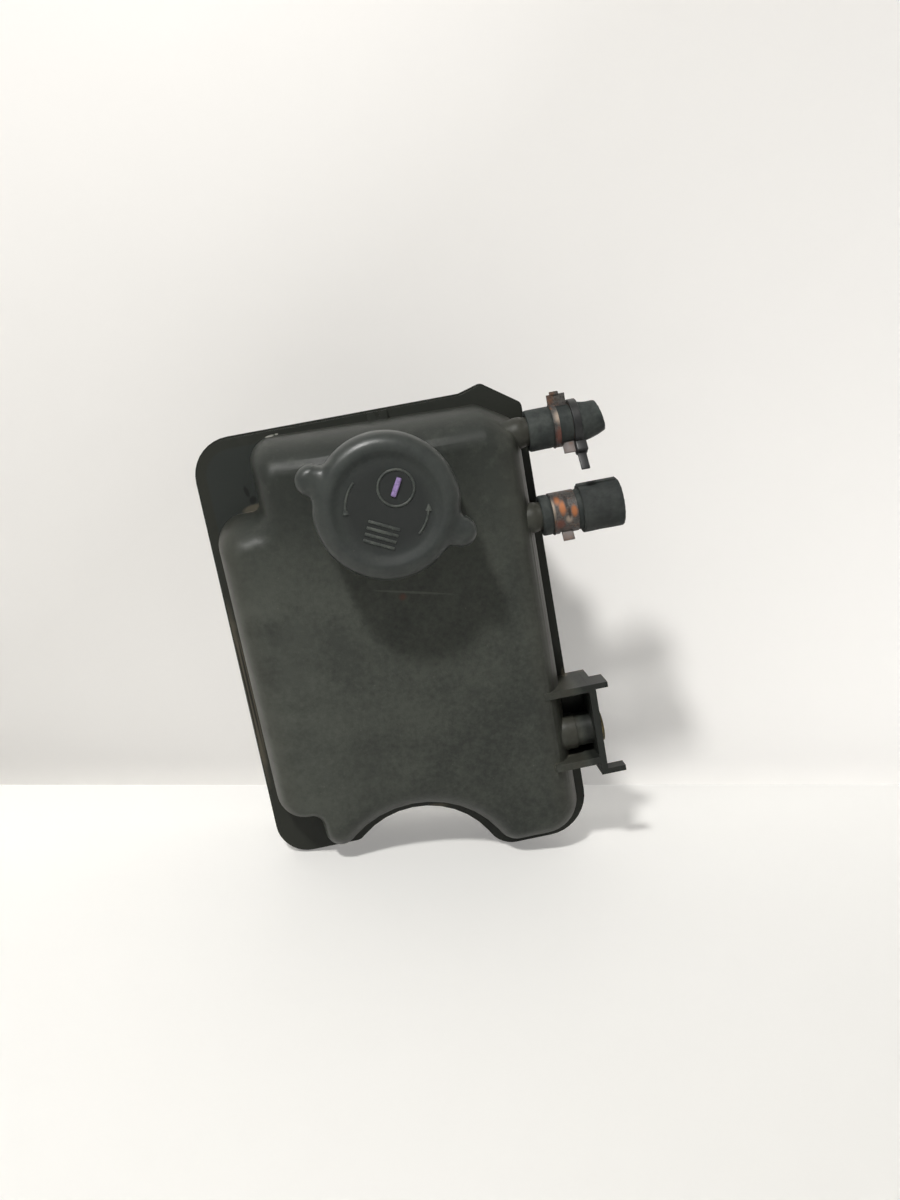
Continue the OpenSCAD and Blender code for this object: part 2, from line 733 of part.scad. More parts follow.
module housing_ring() {
    color("#171717")
        standing()
            on_neck(ring_at + ring_t / 2)
                rotate_extrude($fn = round_fn)
                    translate([ring_mid_r, 0])
                        circle(r = ring_t / 2, $fn = hull_fn);
}
module lip_seal() {
    color("#171717")
        standing()
            on_neck(lip_y)
                tube(cartridge_flange_r, neck_bore_r + rest_gap, lip_seal_t, $fn = round_fn);
}
module spring_retainer() {
    color("#1f2224")
        standing()
            difference() {
                union() {
                    on_neck(retainer_at)
                        cylinder(r = barrel_in, h = retainer_t, $fn = round_fn);
                    on_neck(head_at)
                        cylinder(r = head_r, h = head_h, $fn = round_fn);
                }
                on_neck(retainer_at - 1)
                    cylinder(r = retainer_hole_r, h = retainer_t + head_h + 2, $fn = small_fn);
            }
}
module relief_plunger() {
    color("#b9bbbd")
        standing()
            on_neck(plunger_at)
                tube(relief_r, stem_r + run_gap, relief_t, $fn = small_fn);
}
module relief_seal() {
    color("#171717")
        standing()
            on_neck(seat_at)
                tube(relief_r, vacuum_r + 1, relief_seal_t, $fn = small_fn);
}
module vacuum_valve() {
    color("#c8c9ca")
        standing() {
            on_neck(plunger_at - vacuum_t)
                cylinder(r = vacuum_r, h = vacuum_t, $fn = small_fn);
            on_neck(plunger_at - vacuum_t / 2)
                cylinder(r = stem_r, h = vacuum_t / 2 + relief_t + stem_l, $fn = small_fn);
        }
}
clip_at = plunger_at + relief_t + stem_l - clip_t;
module vacuum_clip() {
    color("#8d9093")
        standing()
            on_neck(clip_at)
                tube(clip_r, stem_r, clip_t, $fn = small_fn);
}

// A wire wound into a helix, swept as one closed skin.
coil_sides = 8;
coil_steps = 16;
module coil(r, wire, l, turns) {
    n = turns * coil_steps;
    pts = [
        for (i = [0:n], k = [0:coil_sides - 1])
            let (q = 360 * turns * i / n, a = 360 * k / coil_sides, out = r + wire / 2 * cos(a))
            [out * cos(q), out * sin(q), wire / 2 + (l - wire) * i / n + wire / 2 * sin(a)]
    ];
    sides = [
        for (i = [0:n - 1], k = [0:coil_sides - 1])
            let (j = (k + 1) % coil_sides)
            [i * coil_sides + k, (i + 1) * coil_sides + k, (i + 1) * coil_sides + j, i * coil_sides + j]
    ];
    ends = [
        [for (k = [0:coil_sides - 1]) k],
        [for (k = [coil_sides - 1:-1:0]) n * coil_sides + k]
    ];
    polyhedron(pts, concat(sides, ends));
}
module relief_spring() {
    color("#9a9c9e")
        standing()
            on_neck(plunger_at + relief_t)
                coil(relief_coil_r, relief_wire, retainer_at - plunger_at - relief_t, relief_turns);
}
module vacuum_spring() {
    color("#9a9c9e")
        standing()
            on_neck(plunger_at + relief_t)
                coil(vacuum_coil_r, vacuum_wire, clip_at - plunger_at - relief_t, vacuum_turns);
}

hose_x = right_x - flange_w + hose_gap;
hose_r = nipple_r + hose_wall;
nipple_end = right_x + nipple_l;
clamp_seat_r = hose_r - hose_pinch;
// A hose stub as one turned wall, seated over the nipple, pinched under its clamp, straight up
// to straight_l and narrower past that.
module hose(z, l, straight_l, end_r, clamp_at) {
    barb_at = nipple_end - barb_l - hose_x;
    past = nipple_end - hose_x;
    clamp_end = clamp_at + band_w;
    inner_at = max(straight_l, past + hose_wall);
    on_side(hose_x, nipple_y, z)
        rotate_extrude($fn = small_fn)
            polygon([
                [nipple_r, 0], [hose_r, 0], [hose_r, clamp_at - hose_flare],
                [clamp_seat_r, clamp_at], [clamp_seat_r, clamp_end],
                [hose_r, clamp_end + hose_flare], [hose_r, straight_l], [end_r, l],
                [end_r - hose_wall, l], [end_r - hose_wall, inner_at], [nipple_r, past],
                [nipple_r + barb_h, barb_at], [nipple_r, barb_at]
            ]);
}
tie_at = upper_clamp_at + band_w - tie_over;
module upper_hose() {
    color("#2a2d2c")
        standing()
            hose(upper_z, upper_hose_l, upper_clamp_at + band_w + hose_flare, upper_end_r, upper_clamp_at);
}
sleeve_at = lower_hose_l + sleeve_over - sleeve_l;
module lower_hose() {
    color("#2a2d2c")
        standing()
            hose(lower_z, lower_hose_l, sleeve_at, hose_r, lower_clamp_at);
}
module lower_hose_sleeve() {
    color("#2e3130")
        standing()
            on_side(hose_x + sleeve_at, nipple_y, lower_z)
                tube(sleeve_r, hose_r, sleeve_l, $fn = small_fn);
}

band_r = clamp_seat_r + band_t;
// A spring band with a slot for its own tongue and two tangs that stand out. The band's middle
// is at x; turn is the angle of its wide tang from straight down, and flip turns it end for end.
module clamp(x, z, turn, flip) {
    on_side(x, nipple_y, z)
        rotate([0, 0, turn])
            rotate([flip, 0, 0]) {
                difference() {
                    translate([0, 0, -band_w / 2])
                        tube(band_r, clamp_seat_r, band_w, $fn = small_fn);
                    translate([0, 0, -fork_gap / 2])
                        rotate_extrude(angle = fork_angle, $fn = small_fn)
                            translate([clamp_seat_r - 1, 0])
                                square([band_t + 2, fork_gap]);
                }
                translate([clamp_seat_r, -band_t / 2, -band_w / 2])
                    cube([tang_h, band_t, tang_w]);
                rotate([0, 0, fork_angle])
                    translate([clamp_seat_r, -band_t / 2, -tongue_w / 2])
                        cube([tang_h, band_t, tongue_w]);
            }
}
module upper_clamp() {
    color("#8a5a35")
        standing()
            clamp(hose_x + upper_clamp_at + band_w / 2, upper_z, 360 - tang_turn - fork_angle, 0);
}
module lower_clamp() {
    color("#9c5a2c")
        standing()
            clamp(hose_x + lower_clamp_at + band_w / 2, lower_z, fork_angle - tang_turn, 180);
}

module cable_tie() {
    color("#151616")
        standing()
            on_side(hose_x + tie_at, nipple_y, upper_z)
                rotate([0, 0, -tie_angle]) {
                    tube(band_r + tie_t, band_r, tie_w, $fn = small_fn);
                    translate([band_r, -tie_head / 2, 0])
                        cube([tie_head, tie_head, tie_head]);
                    translate([band_r + tie_head / 2, -tie_w / 2, (tie_head - tie_t) / 2])
                        cube([tie_tail + tie_head / 2, tie_w, tie_t]);
                }
}

module bolt_insert() {
    color("#a08a4a")
        standing()
            difference() {
                union() {
                    on_side(plate_x - insert_l, bolt_y, bolt_z)
                        cylinder(r = insert_r, h = insert_l + rim_t / 2, $fn = small_fn);
                    on_side(plate_x, bolt_y, bolt_z)
                        cylinder(r = rim_r, h = rim_t, $fn = small_fn);
                }
                on_side(plate_x - insert_l - 1, bolt_y, bolt_z)
                    cylinder(r = insert_bore_r, h = insert_l + rim_t + 2, $fn = small_fn);
            }
}

front_shell();
rear_shell();
cap_shell();
valve_housing();
housing_ring();
lip_seal();
spring_retainer();
relief_plunger();
relief_seal();
relief_spring();
vacuum_valve();
vacuum_clip();
vacuum_spring();
upper_hose();
lower_hose();
lower_hose_sleeve();
upper_clamp();
lower_clamp();
cable_tie();
bolt_insert();
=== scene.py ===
import math

import bmesh
import bpy
import mathutils
from mathutils import Matrix, Vector


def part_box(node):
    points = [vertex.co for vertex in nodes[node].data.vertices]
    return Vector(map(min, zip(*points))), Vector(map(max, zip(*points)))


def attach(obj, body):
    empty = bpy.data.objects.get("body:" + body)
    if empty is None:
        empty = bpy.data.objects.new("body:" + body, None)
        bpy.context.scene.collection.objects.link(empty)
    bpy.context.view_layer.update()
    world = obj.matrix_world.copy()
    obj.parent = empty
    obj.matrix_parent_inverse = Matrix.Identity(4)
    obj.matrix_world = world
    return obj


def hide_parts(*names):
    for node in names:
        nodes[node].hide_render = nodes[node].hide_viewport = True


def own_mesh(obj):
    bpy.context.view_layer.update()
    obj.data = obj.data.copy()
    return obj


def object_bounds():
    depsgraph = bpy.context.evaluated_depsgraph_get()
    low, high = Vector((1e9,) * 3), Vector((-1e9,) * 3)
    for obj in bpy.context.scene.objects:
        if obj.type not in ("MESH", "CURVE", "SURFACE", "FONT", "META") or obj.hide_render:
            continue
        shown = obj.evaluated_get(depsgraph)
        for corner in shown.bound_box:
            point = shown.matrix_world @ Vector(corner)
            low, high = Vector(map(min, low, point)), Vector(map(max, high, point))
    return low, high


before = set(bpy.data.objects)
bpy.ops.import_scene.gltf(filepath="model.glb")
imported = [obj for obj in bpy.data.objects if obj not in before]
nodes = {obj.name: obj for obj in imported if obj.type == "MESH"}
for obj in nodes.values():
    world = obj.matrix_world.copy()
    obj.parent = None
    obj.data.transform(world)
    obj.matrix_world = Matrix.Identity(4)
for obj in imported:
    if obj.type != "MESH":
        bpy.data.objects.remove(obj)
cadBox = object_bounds()
mm = 0.001
print("frame loaded:", len(nodes), "nodes")


# the tank's own axes, in mm: x along its top edge, z up its side, y back from the plane of its weld
stance = {"lean": 10.2771, "boltX": 82.5, "boltY": -12, "boltZ": 53.5}
tankToFrame = (
    Matrix.Rotation(-math.radians(stance["lean"]), 4, "Y")
    @ Matrix.Diagonal((mm, mm, mm, 1))
    @ Matrix.Translation((-stance["boltX"], -stance["boltY"], -stance["boltZ"]))
)
frameToTank = tankToFrame.inverted()


def onTank(x, y, z):
    return tankToFrame @ Vector((x, y, z))


# camera and lights first, at the photograph's angle

cameraSettings = {
    "place": (-105.7, -426.1, 144.1), "looks": (0.0850, 0.9770, -0.1958), "lens": 30, "sensor": 36, "clipStart": 0.01,
}
camera = bpy.data.objects.new("camera", bpy.data.cameras.new("camera"))
bpy.context.collection.objects.link(camera)
camera.location = Vector(cameraSettings["place"]) * mm
camera.rotation_euler = Vector(cameraSettings["looks"]).to_track_quat("-Z", "Y").to_euler()
camera.data.lens = cameraSettings["lens"]
camera.data.sensor_width = cameraSettings["sensor"]
camera.data.clip_start = cameraSettings["clipStart"]
bpy.context.scene.camera = camera
bpy.context.scene.view_settings.view_transform = "Standard"

# a small hard lamp at the upper left and a broad weak one at the right
lamps = {
    "ceilingLamp": {"away": (-0.36, -0.72, 0.86), "size": 0.12, "power": 12, "tint": (1, 0.99, 0.97)},
    "roomFill": {"away": (0.9, -1.1, 0.5), "size": 1.4, "power": 0.7, "tint": (0.98, 0.99, 1)},
}
middle = (cadBox[0] + cadBox[1]) / 2
for name, settings in lamps.items():
    lamp = bpy.data.lights.new(name, "AREA")
    lamp.shape = "DISK"
    lamp.size = settings["size"]
    lamp.energy = settings["power"]
    lamp.color = settings["tint"]
    holder = bpy.data.objects.new(name, lamp)
    holder.location = middle + Vector(settings["away"])
    holder.rotation_euler = (middle - holder.location).to_track_quat("-Z", "Y").to_euler()
    bpy.context.collection.objects.link(holder)

print("camera and lamps placed")


# materials

def colour(hexText):
    # an sRGB hex text as linear values
    parts = [int(hexText[i:i + 2], 16) / 255 for i in (1, 3, 5)]
    linear = [c / 12.92 if c <= 0.04045 else ((c + 0.055) / 1.055) ** 2.4 for c in parts]
    return (*linear, 1)


def addNode(tree, kind, sockets=None, **settings):
    node = tree.nodes.new(kind)
    for key, value in settings.items():
        setattr(node, key, value)
    for key, value in (sockets or {}).items():
        if isinstance(value, bpy.types.NodeSocket):
            tree.links.new(value, node.inputs[key])
        else:
            node.inputs[key].default_value = value
    return node


def startMaterial(name):
    material = bpy.data.materials.new(name)
    material.use_nodes = True
    tree = material.node_tree
    tree.nodes.clear()
    place = addNode(tree, "ShaderNodeTexCoord").outputs["Object"]
    return material, tree, place


def endMaterial(tree, shader):
    addNode(tree, "ShaderNodeOutputMaterial", {"Surface": shader.outputs[0]})


def calc(tree, operation, *values):
    return addNode(tree, "ShaderNodeMath", dict(enumerate(values)), operation=operation).outputs[0]


def calcVector(tree, operation, *values):
    node = addNode(tree, "ShaderNodeVectorMath", dict(enumerate(values)), operation=operation)
    return node.outputs["Value" if operation == "LENGTH" else "Vector"]


def axesOf(tree, vector):
    return addNode(tree, "ShaderNodeSeparateXYZ", {"Vector": vector}).outputs


def times(tree, *factors):
    total = factors[0]
    for factor in factors[1:]:
        total = calc(tree, "MULTIPLY", total, factor)
    return total


def most(tree, masks):
    total = masks[0]
    for mask in masks[1:]:
        total = calc(tree, "MAXIMUM", total, mask)
    return total


def ramp(tree, factor, low, high, start=0, end=1):
    return addNode(tree, "ShaderNodeMapRange", {
        "Value": factor, "From Min": low, "From Max": high, "To Min": start, "To Max": end,
    }, clamp=True).outputs["Result"]


def mixColour(tree, factor, first, second):
    node = addNode(tree, "ShaderNodeMix", {"Factor": factor}, data_type="RGBA", blend_type="MIX")
    for index, value in ((6, first), (7, second)):
        if isinstance(value, bpy.types.NodeSocket):
            tree.links.new(value, node.inputs[index])
        else:
            node.inputs[index].default_value = value
    return node.outputs[2]


def noise(tree, place, sizeMm, detail=4, roughness=0.55):
    return addNode(tree, "ShaderNodeTexNoise", {
        "Vector": place, "Scale": 1 / (sizeMm * mm), "Detail": detail, "Roughness": roughness,
    }).outputs["Fac"]


def tankPlace(tree, place):
    # the same point in the tank's own axes, in millimetres
    return addNode(tree, "ShaderNodeMapping", {
        "Vector": place, "Rotation": (0, math.radians(stance["lean"]), 0), "Scale": (1 / mm, 1 / mm, 1 / mm),
        "Location": (stance["boltX"], stance["boltY"], stance["boltZ"]),
    }).outputs["Vector"]


patchEdge = {"at": 1.45, "broken": 0.9}


def patch(tree, own, wobble, at, half, turn=0, soft=0.25):
    # 1 inside an ellipsoid round the point at, with an edge that the noise breaks up
    local = addNode(tree, "ShaderNodeMapping", {
        "Vector": own, "Location": at, "Rotation": (0, math.radians(turn), 0), "Scale": half,
    }, vector_type="TEXTURE").outputs["Vector"]
    reach = calcVector(tree, "LENGTH", local)
    broken = calc(tree, "MULTIPLY_ADD", wobble, patchEdge["broken"], reach)
    return ramp(tree, broken, patchEdge["at"] + soft, patchEdge["at"] - soft)


def roundedBox(tree, own, centre, half, radius, softMm):
    # 1 inside a box with rounded corners in x and z
    away = calcVector(tree, "SUBTRACT", own, centre)
    past = calcVector(tree, "SUBTRACT", calcVector(tree, "ABSOLUTE", away), half)
    outside = calcVector(tree, "MAXIMUM", past, (0, 0, 0))
    return ramp(tree, calcVector(tree, "LENGTH", outside), radius + softMm, radius)


def washed(tree, base, zone, *masks):
    # the zone's colour laid over the base where all the masks hold
    return mixColour(tree, times(tree, *masks, zone["share"]), base, colour(zone["colour"]))


# what all the mouldings share: how far each noise tells, and in which range of it
nylonGrain = {
    "cloudShare": 0.55, "mottleShare": 0.45, "tone": (0.41, 0.6), "facesUp": (0.1, 1), "dustBreaks": (0.35, 0.75),
    "crease": (0.62, 0.35), "creaseBreaks": (0.42, 0.62), "speck": (0.69, 0.76), "roughOver": (0.3, 0.7),
    "smoother": 0.05, "rougher": 0.08, "grainMm": 0.5, "grainDepth": 0.00015, "ior": 1.53,
}


def nylonMaterial(name, settings, addMarks=None):
    # glass-filled nylon from a spark-eroded mould: satin, faintly grained, dull where dust has settled
    material, tree, place = startMaterial(name)
    grain = nylonGrain
    dust = colour(settings["dustColour"])
    up = axesOf(tree, addNode(tree, "ShaderNodeNewGeometry").outputs["Normal"])["Z"]
    cloud = noise(tree, place, settings["cloudMm"], 5)
    speck = noise(tree, place, settings["speckMm"], 3, 0.7)
    dirt = noise(tree, place, settings["dustMm"], 6, 0.65)
    mottle = noise(tree, place, settings["mottleMm"], 5, 0.7)
    tone = calc(tree, "MULTIPLY_ADD", mottle, grain["mottleShare"], times(tree, cloud, grain["cloudShare"]))
    base = mixColour(tree, ramp(tree, tone, *grain["tone"]), colour(settings["dark"]), colour(settings["light"]))
    lying = times(tree, ramp(tree, up, *grain["facesUp"]), ramp(tree, dirt, *grain["dustBreaks"]), settings["dust"])
    base = mixColour(tree, lying, base, dust)
    # dust that stays in the corners
    crease = addNode(
        tree, "ShaderNodeAmbientOcclusion", {"Distance": settings["creaseMm"] * mm}, samples=6, only_local=True,
    ).outputs["AO"]
    corner = times(
        tree, ramp(tree, crease, *grain["crease"]), ramp(tree, dirt, *grain["creaseBreaks"]), settings["creaseDust"],
    )
    base = mixColour(tree, corner, base, dust)
    specks = times(tree, ramp(tree, speck, *grain["speck"]), settings["specks"])
    base = mixColour(tree, specks, base, colour(settings["speckColour"]))
    rough = ramp(
        tree, cloud, *grain["roughOver"], settings["rough"] - grain["smoother"], settings["rough"] + grain["rougher"],
    )
    if addMarks:
        base, rough = addMarks(tree, tankPlace(tree, place), dirt, base, rough)
    # the mould's grain is about 0.1 mm, and is drawn coarser so that it shows
    edge = addNode(tree, "ShaderNodeBevel", {"Radius": settings["edgeMm"] * mm}, samples=4)
    bump = addNode(tree, "ShaderNodeBump", {
        "Height": noise(tree, place, grain["grainMm"], 2, 0.5), "Strength": settings["bump"],
        "Distance": grain["grainDepth"], "Normal": edge.outputs["Normal"],
    })
    shader = addNode(tree, "ShaderNodeBsdfPrincipled", {
        "Base Color": base, "Roughness": rough, "Normal": bump.outputs["Normal"], "IOR": grain["ior"],
        "Specular IOR Level": settings["shine"],
    })
    endMaterial(tree, shader)
    return material


# places and reaches on the shells in the tank's own millimetres, in the order in which they are laid on
shellZones = {
    # darker towards the top: painted shade, with some cleaner nylon
    "cleanAndShadedTop": {"colour": "#262926", "share": 0.8, "height": (128, 190), "broken": (0.25, 0.5)},
    "side": {"colour": "#393730", "share": 0.6, "starts": (52, 68), "ends": (73, 70)},
    # paler along the left edge of the front, below the shoulder
    "leftPaleBand": {
        "colour": "#555851", "share": 0.5, "across": (0, -64), "depth": (-8, -20), "broken": (0.2, 0.6),
        "height": (176, 138),
    },
    "bracket": {"colour": "#1d1f1d", "share": 0.85, "across": (72, 75)},
    # darker near the flange: partly its own tone, partly painted shade under the body's sides
    "flange": {"colour": "#22241f", "share": 0.85, "front": (-15, -3), "back": (9, 3)},
    "pad": {
        "colour": "#262a28", "share": 0.8, "front": (-2.9, -2.5), "back": (-0.5, -1),
        "centre": (-48, 0, 176), "half": (7, 3.5, 16.5), "radius": 11.5, "softMm": 0.9,
    },
    "rim": {"colour": "#5d5747", "share": 0.8, "facing": (0.6, 0.3), "front": (-3, -2.4), "broken": (0.4, 0.6)},
}
shellSpots = (
    # dust
    {"colour": "#6b6455", "share": 0.45, "spots": (
        {"at": (-50.2, -2.2, 177.6), "half": (4.5, 3, 1.6), "turn": -8},
        {"at": (-71.4, -1.5, 68), "half": (0.9, 3, 2)},
        {"at": (-70.6, -2.2, 96), "half": (2.2, 3, 38)},
        {"at": (2.4, -1.5, 26.6), "half": (5, 3, 1.2), "turn": 5},
        {"at": (71.2, -2, 77.5), "half": (1.3, 3, 3.2)},
    )},
    # a long pale scuff
    {"colour": "#62655e", "share": 0.4, "spots": (
        {"at": (10.5, -28, 133), "half": (15, 4, 0.5), "turn": 14},
    )},
    # pale chips
    {"colour": "#a5a59c", "share": 0.8, "spots": (
        {"at": (-37, -2.2, 206.4), "half": (1.8, 2, 0.4), "turn": -6},
        {"at": (-34, -2.2, 206.7), "half": (0.7, 2, 0.35)},
    )},
    # a rusty stain
    {"colour": "#54382d", "share": 0.7, "spots": (
        {"at": (5.5, -28, 132), "half": (1.5, 3, 1.4), "turn": -12, "soft": 0.5},
    )},
    # gouges in the upper left notch
    {"colour": "#131413", "share": 0.9, "spots": (
        {"at": (-51.6, -2.2, 185.2), "half": (1.0, 3, 2.6), "turn": -14},
        {"at": (-49.6, -2.2, 181.2), "half": (1.5, 3, 1.8), "turn": 30},
    )},
    # dark lines along the flange and across the bracket
    {"colour": "#131413", "share": 0.9, "spots": (
        {"at": (-71.0, -2.2, 97), "half": (0.55, 3, 26.5)},
        {"at": (-69.4, -2.2, 97.5), "half": (0.45, 3, 25)},
        {"at": (77.4, -12, 76.9), "half": (0.3, 14, 0.8)},
    )},
)


def addShellMarks(tree, own, wobble, base, rough):
    # the face is paler, the flange is darker, partly for its own tone and partly as painted shade under the body, and
    # dirt clings to its rim
    zones = shellZones
    axes = axesOf(tree, own)
    right, depth, height = axes["X"], axes["Y"], axes["Z"]
    across = calc(tree, "ABSOLUTE", right)
    # the top is darker than the middle, painted shade with some cleaner nylon, and the sides are browner
    zone = zones["cleanAndShadedTop"]
    base = washed(tree, base, zone, ramp(tree, height, *zone["height"]), ramp(tree, wobble, *zone["broken"]))
    zone = zones["side"]
    base = washed(tree, base, zone, ramp(tree, across, *zone["starts"]), ramp(tree, across, *zone["ends"]))
    # paler along the left edge of the front, below the shoulder
    zone = zones["leftPaleBand"]
    base = washed(
        tree, base, zone, ramp(tree, right, *zone["across"]), ramp(tree, depth, *zone["depth"]),
        ramp(tree, wobble, *zone["broken"]), ramp(tree, height, *zone["height"]),
    )
    zone = zones["bracket"]
    base = washed(tree, base, zone, ramp(tree, right, *zone["across"]))
    # the flange is painted darker, partly its own tone and partly painted shade under the body
    zone = zones["flange"]
    nearFlange = times(tree, ramp(tree, depth, *zone["front"]), ramp(tree, depth, *zone["back"]))
    base = washed(tree, base, zone, nearFlange)
    # a greener field on the plate in the upper left notch
    zone = zones["pad"]
    base = washed(
        tree, base, zone, ramp(tree, depth, *zone["front"]), ramp(tree, depth, *zone["back"]),
        roundedBox(tree, own, zone["centre"], zone["half"], zone["radius"], zone["softMm"]),
    )
    # the flange's narrow outer side
    zone = zones["rim"]
    facing = calc(tree, "ABSOLUTE", axesOf(tree, addNode(tree, "ShaderNodeNewGeometry").outputs["Normal"])["Y"])
    base = washed(
        tree, base, zone, ramp(tree, facing, *zone["facing"]), nearFlange, ramp(tree, depth, *zone["front"]),
        ramp(tree, wobble, *zone["broken"]),
    )
    for group in shellSpots:
        base = washed(tree, base, group, most(tree, [patch(tree, own, wobble, **spot) for spot in group["spots"]]))
    return base, rough


capMarks = {
    "centre": (6, 0, 173.5), "flat": (1, 0, 1), "dullness": 0.34,
    # darker in the middle; the paler rim is a painted highlight, with some dust
    "disc": {"colour": "#181b1a", "share": 0.85, "radius": 19, "soft": 5},
    "rim": {"colour": "#363a37", "share": 0.8, "radius": 24, "soft": 3, "broken": (0.3, 0.65)},
}


def addCapMarks(tree, own, wobble, base, rough):
    # the cap is darker in its middle, and its rim is paler: a painted highlight, with some dust
    away = calcVector(tree, "SUBTRACT", own, capMarks["centre"])
    reach = calcVector(tree, "LENGTH", calcVector(tree, "MULTIPLY", away, capMarks["flat"]))
    disc, rim = capMarks["disc"], capMarks["rim"]
    base = washed(tree, base, disc, ramp(tree, reach, disc["radius"], disc["radius"] - disc["soft"]))
    rimFrom = rim["radius"] - rim["soft"]
    base = washed(tree, base, rim, ramp(tree, reach, rimFrom, rim["radius"]), ramp(tree, wobble, *rim["broken"]))
    # the rim is rubbed to a satin, and the hollow stays dull
    dull = times(tree, ramp(tree, reach, rim["radius"], rimFrom), capMarks["dullness"])
    return base, calc(tree, "ADD", rough, dull)


# nylon 66 with glass fibre, as moulded: dark grey, dusty and satin, with the mould's fine grain
shellNylon = nylonMaterial("dustyMouldedNylon", {
    "dark": "#2f322e", "light": "#42453f", "cloudMm": 34, "mottleMm": 2.4, "speckMm": 1.6, "specks": 0.22,
    "speckColour": "#8f8c80", "dustMm": 9, "dust": 0.06, "dustColour": "#8a8675", "rough": 0.43, "bump": 0.35,
    "creaseMm": 4, "creaseDust": 0.42, "edgeMm": 0.5, "shine": 0.2,
}, addShellMarks)
# the same nylon on the cap, as moulded and handled: blacker, with a soft shine and a painted highlight on its rim
capNylon = nylonMaterial("handledCapNylonWithPaintedHighlight", {
    "dark": "#232726", "light": "#2d312e", "cloudMm": 22, "mottleMm": 1.8, "speckMm": 1.2, "specks": 0.12,
    "speckColour": "#85827a", "dustMm": 6, "dust": 0.08, "dustColour": "#7f7c6f", "rough": 0.36, "bump": 0.3,
    "creaseMm": 1.6, "creaseDust": 0.25, "edgeMm": 0.3, "shine": 0.36,
}, addCapMarks)
# the cap's raised marks, rubbed by hands: paler than the disc round them
capRelief = nylonMaterial("rubbedMouldedNylon", {
    "dark": "#333735", "light": "#4a4e49", "cloudMm": 3, "mottleMm": 1, "speckMm": 0.8, "specks": 0.2,
    "speckColour": "#85827a", "dustMm": 3, "dust": 0.2, "dustColour": "#7f7c6f", "rough": 0.44, "bump": 0.3,
    "creaseMm": 1, "creaseDust": 0.2, "edgeMm": 0.15, "shine": 0.3,
})
# nylon that has stayed inside the neck: clean, nearly black
valvePlastic = nylonMaterial("innerMouldedNylon", {
    "dark": "#1c1f20", "light": "#232627", "cloudMm": 12, "mottleMm": 1.5, "speckMm": 1, "specks": 0.02,
    "speckColour": "#77746c", "dustMm": 5, "dust": 0.03, "dustColour": "#6c6a60", "rough": 0.42, "bump": 0.2,
    "creaseMm": 1, "creaseDust": 0.05, "edgeMm": 0.3, "shine": 0.4,
})
# unfilled nylon of a cable tie, from a polished mould: black, with a plain satin shine
tiePlastic = nylonMaterial("blackTieNylon", {
    "dark": "#131415", "light": "#1b1c1d", "cloudMm": 8, "mottleMm": 1, "speckMm": 0.8, "specks": 0.05,
    "speckColour": "#77746c", "dustMm": 4, "dust": 0.1, "dustColour": "#77756c", "rough": 0.4, "bump": 0.15,
    "creaseMm": 1, "creaseDust": 0.1, "edgeMm": 0.2, "shine": 0.4,
})

# the lines run along the hoses, which lie across the tank
rubberGrain = {
    "bloom": (0.4, 0.72), "stretch": (0.08, 1, 1), "lineMm": 0.9, "lineDepth": 0.0002, "ior": 1.5, "shine": 0.25,
}


def rubberMaterial(name, settings):
    # extruded EPDM rubber: dark grey and matt, with a pale bloom and fine lines along its length
    material, tree, place = startMaterial(name)
    bloom = ramp(tree, noise(tree, place, settings["bloomMm"], 6, 0.65), *rubberGrain["bloom"])
    base = mixColour(tree, bloom, colour(settings["dark"]), colour(settings["light"]))
    stretched = addNode(tree, "ShaderNodeMapping", {
        "Vector": place, "Rotation": (0, math.radians(stance["lean"]), 0), "Scale": rubberGrain["stretch"],
    }).outputs["Vector"]
    bump = addNode(tree, "ShaderNodeBump", {
        "Height": noise(tree, stretched, rubberGrain["lineMm"], 3, 0.6), "Strength": settings["bump"],
        "Distance": rubberGrain["lineDepth"],
    })
    shader = addNode(tree, "ShaderNodeBsdfPrincipled", {
        "Base Color": base, "Roughness": settings["rough"], "Normal": bump.outputs["Normal"],
        "IOR": rubberGrain["ior"], "Specular IOR Level": rubberGrain["shine"],
    })
    endMaterial(tree, shader)
    return material


hoseRubber = rubberMaterial("bloomedHoseRubber", {
    "dark": "#2c302f", "light": "#464a47", "bloomMm": 7, "rough": 0.72, "bump": 0.4,
})
sleeveRubber = rubberMaterial("bloomedSleeveRubber", {
    "dark": "#2b2e2d", "light": "#404341", "bloomMm": 9, "rough": 0.75, "bump": 0.5,
})
sealRubber = rubberMaterial("blackSealRubber", {
    "dark": "#141515", "light": "#1c1e1e", "bloomMm": 5, "rough": 0.6, "bump": 0.1,
})

metalGrain = {
    "rustEdge": 0.16, "fineMm": 0.8, "coat": (0.35, 0.65), "rust": (0.35, 0.7), "spotSoft": 0.4, "spotShare": 0.85,
    "rustRough": 0.85, "rustBump": 0.7, "rustDepth": 0.0002,
}


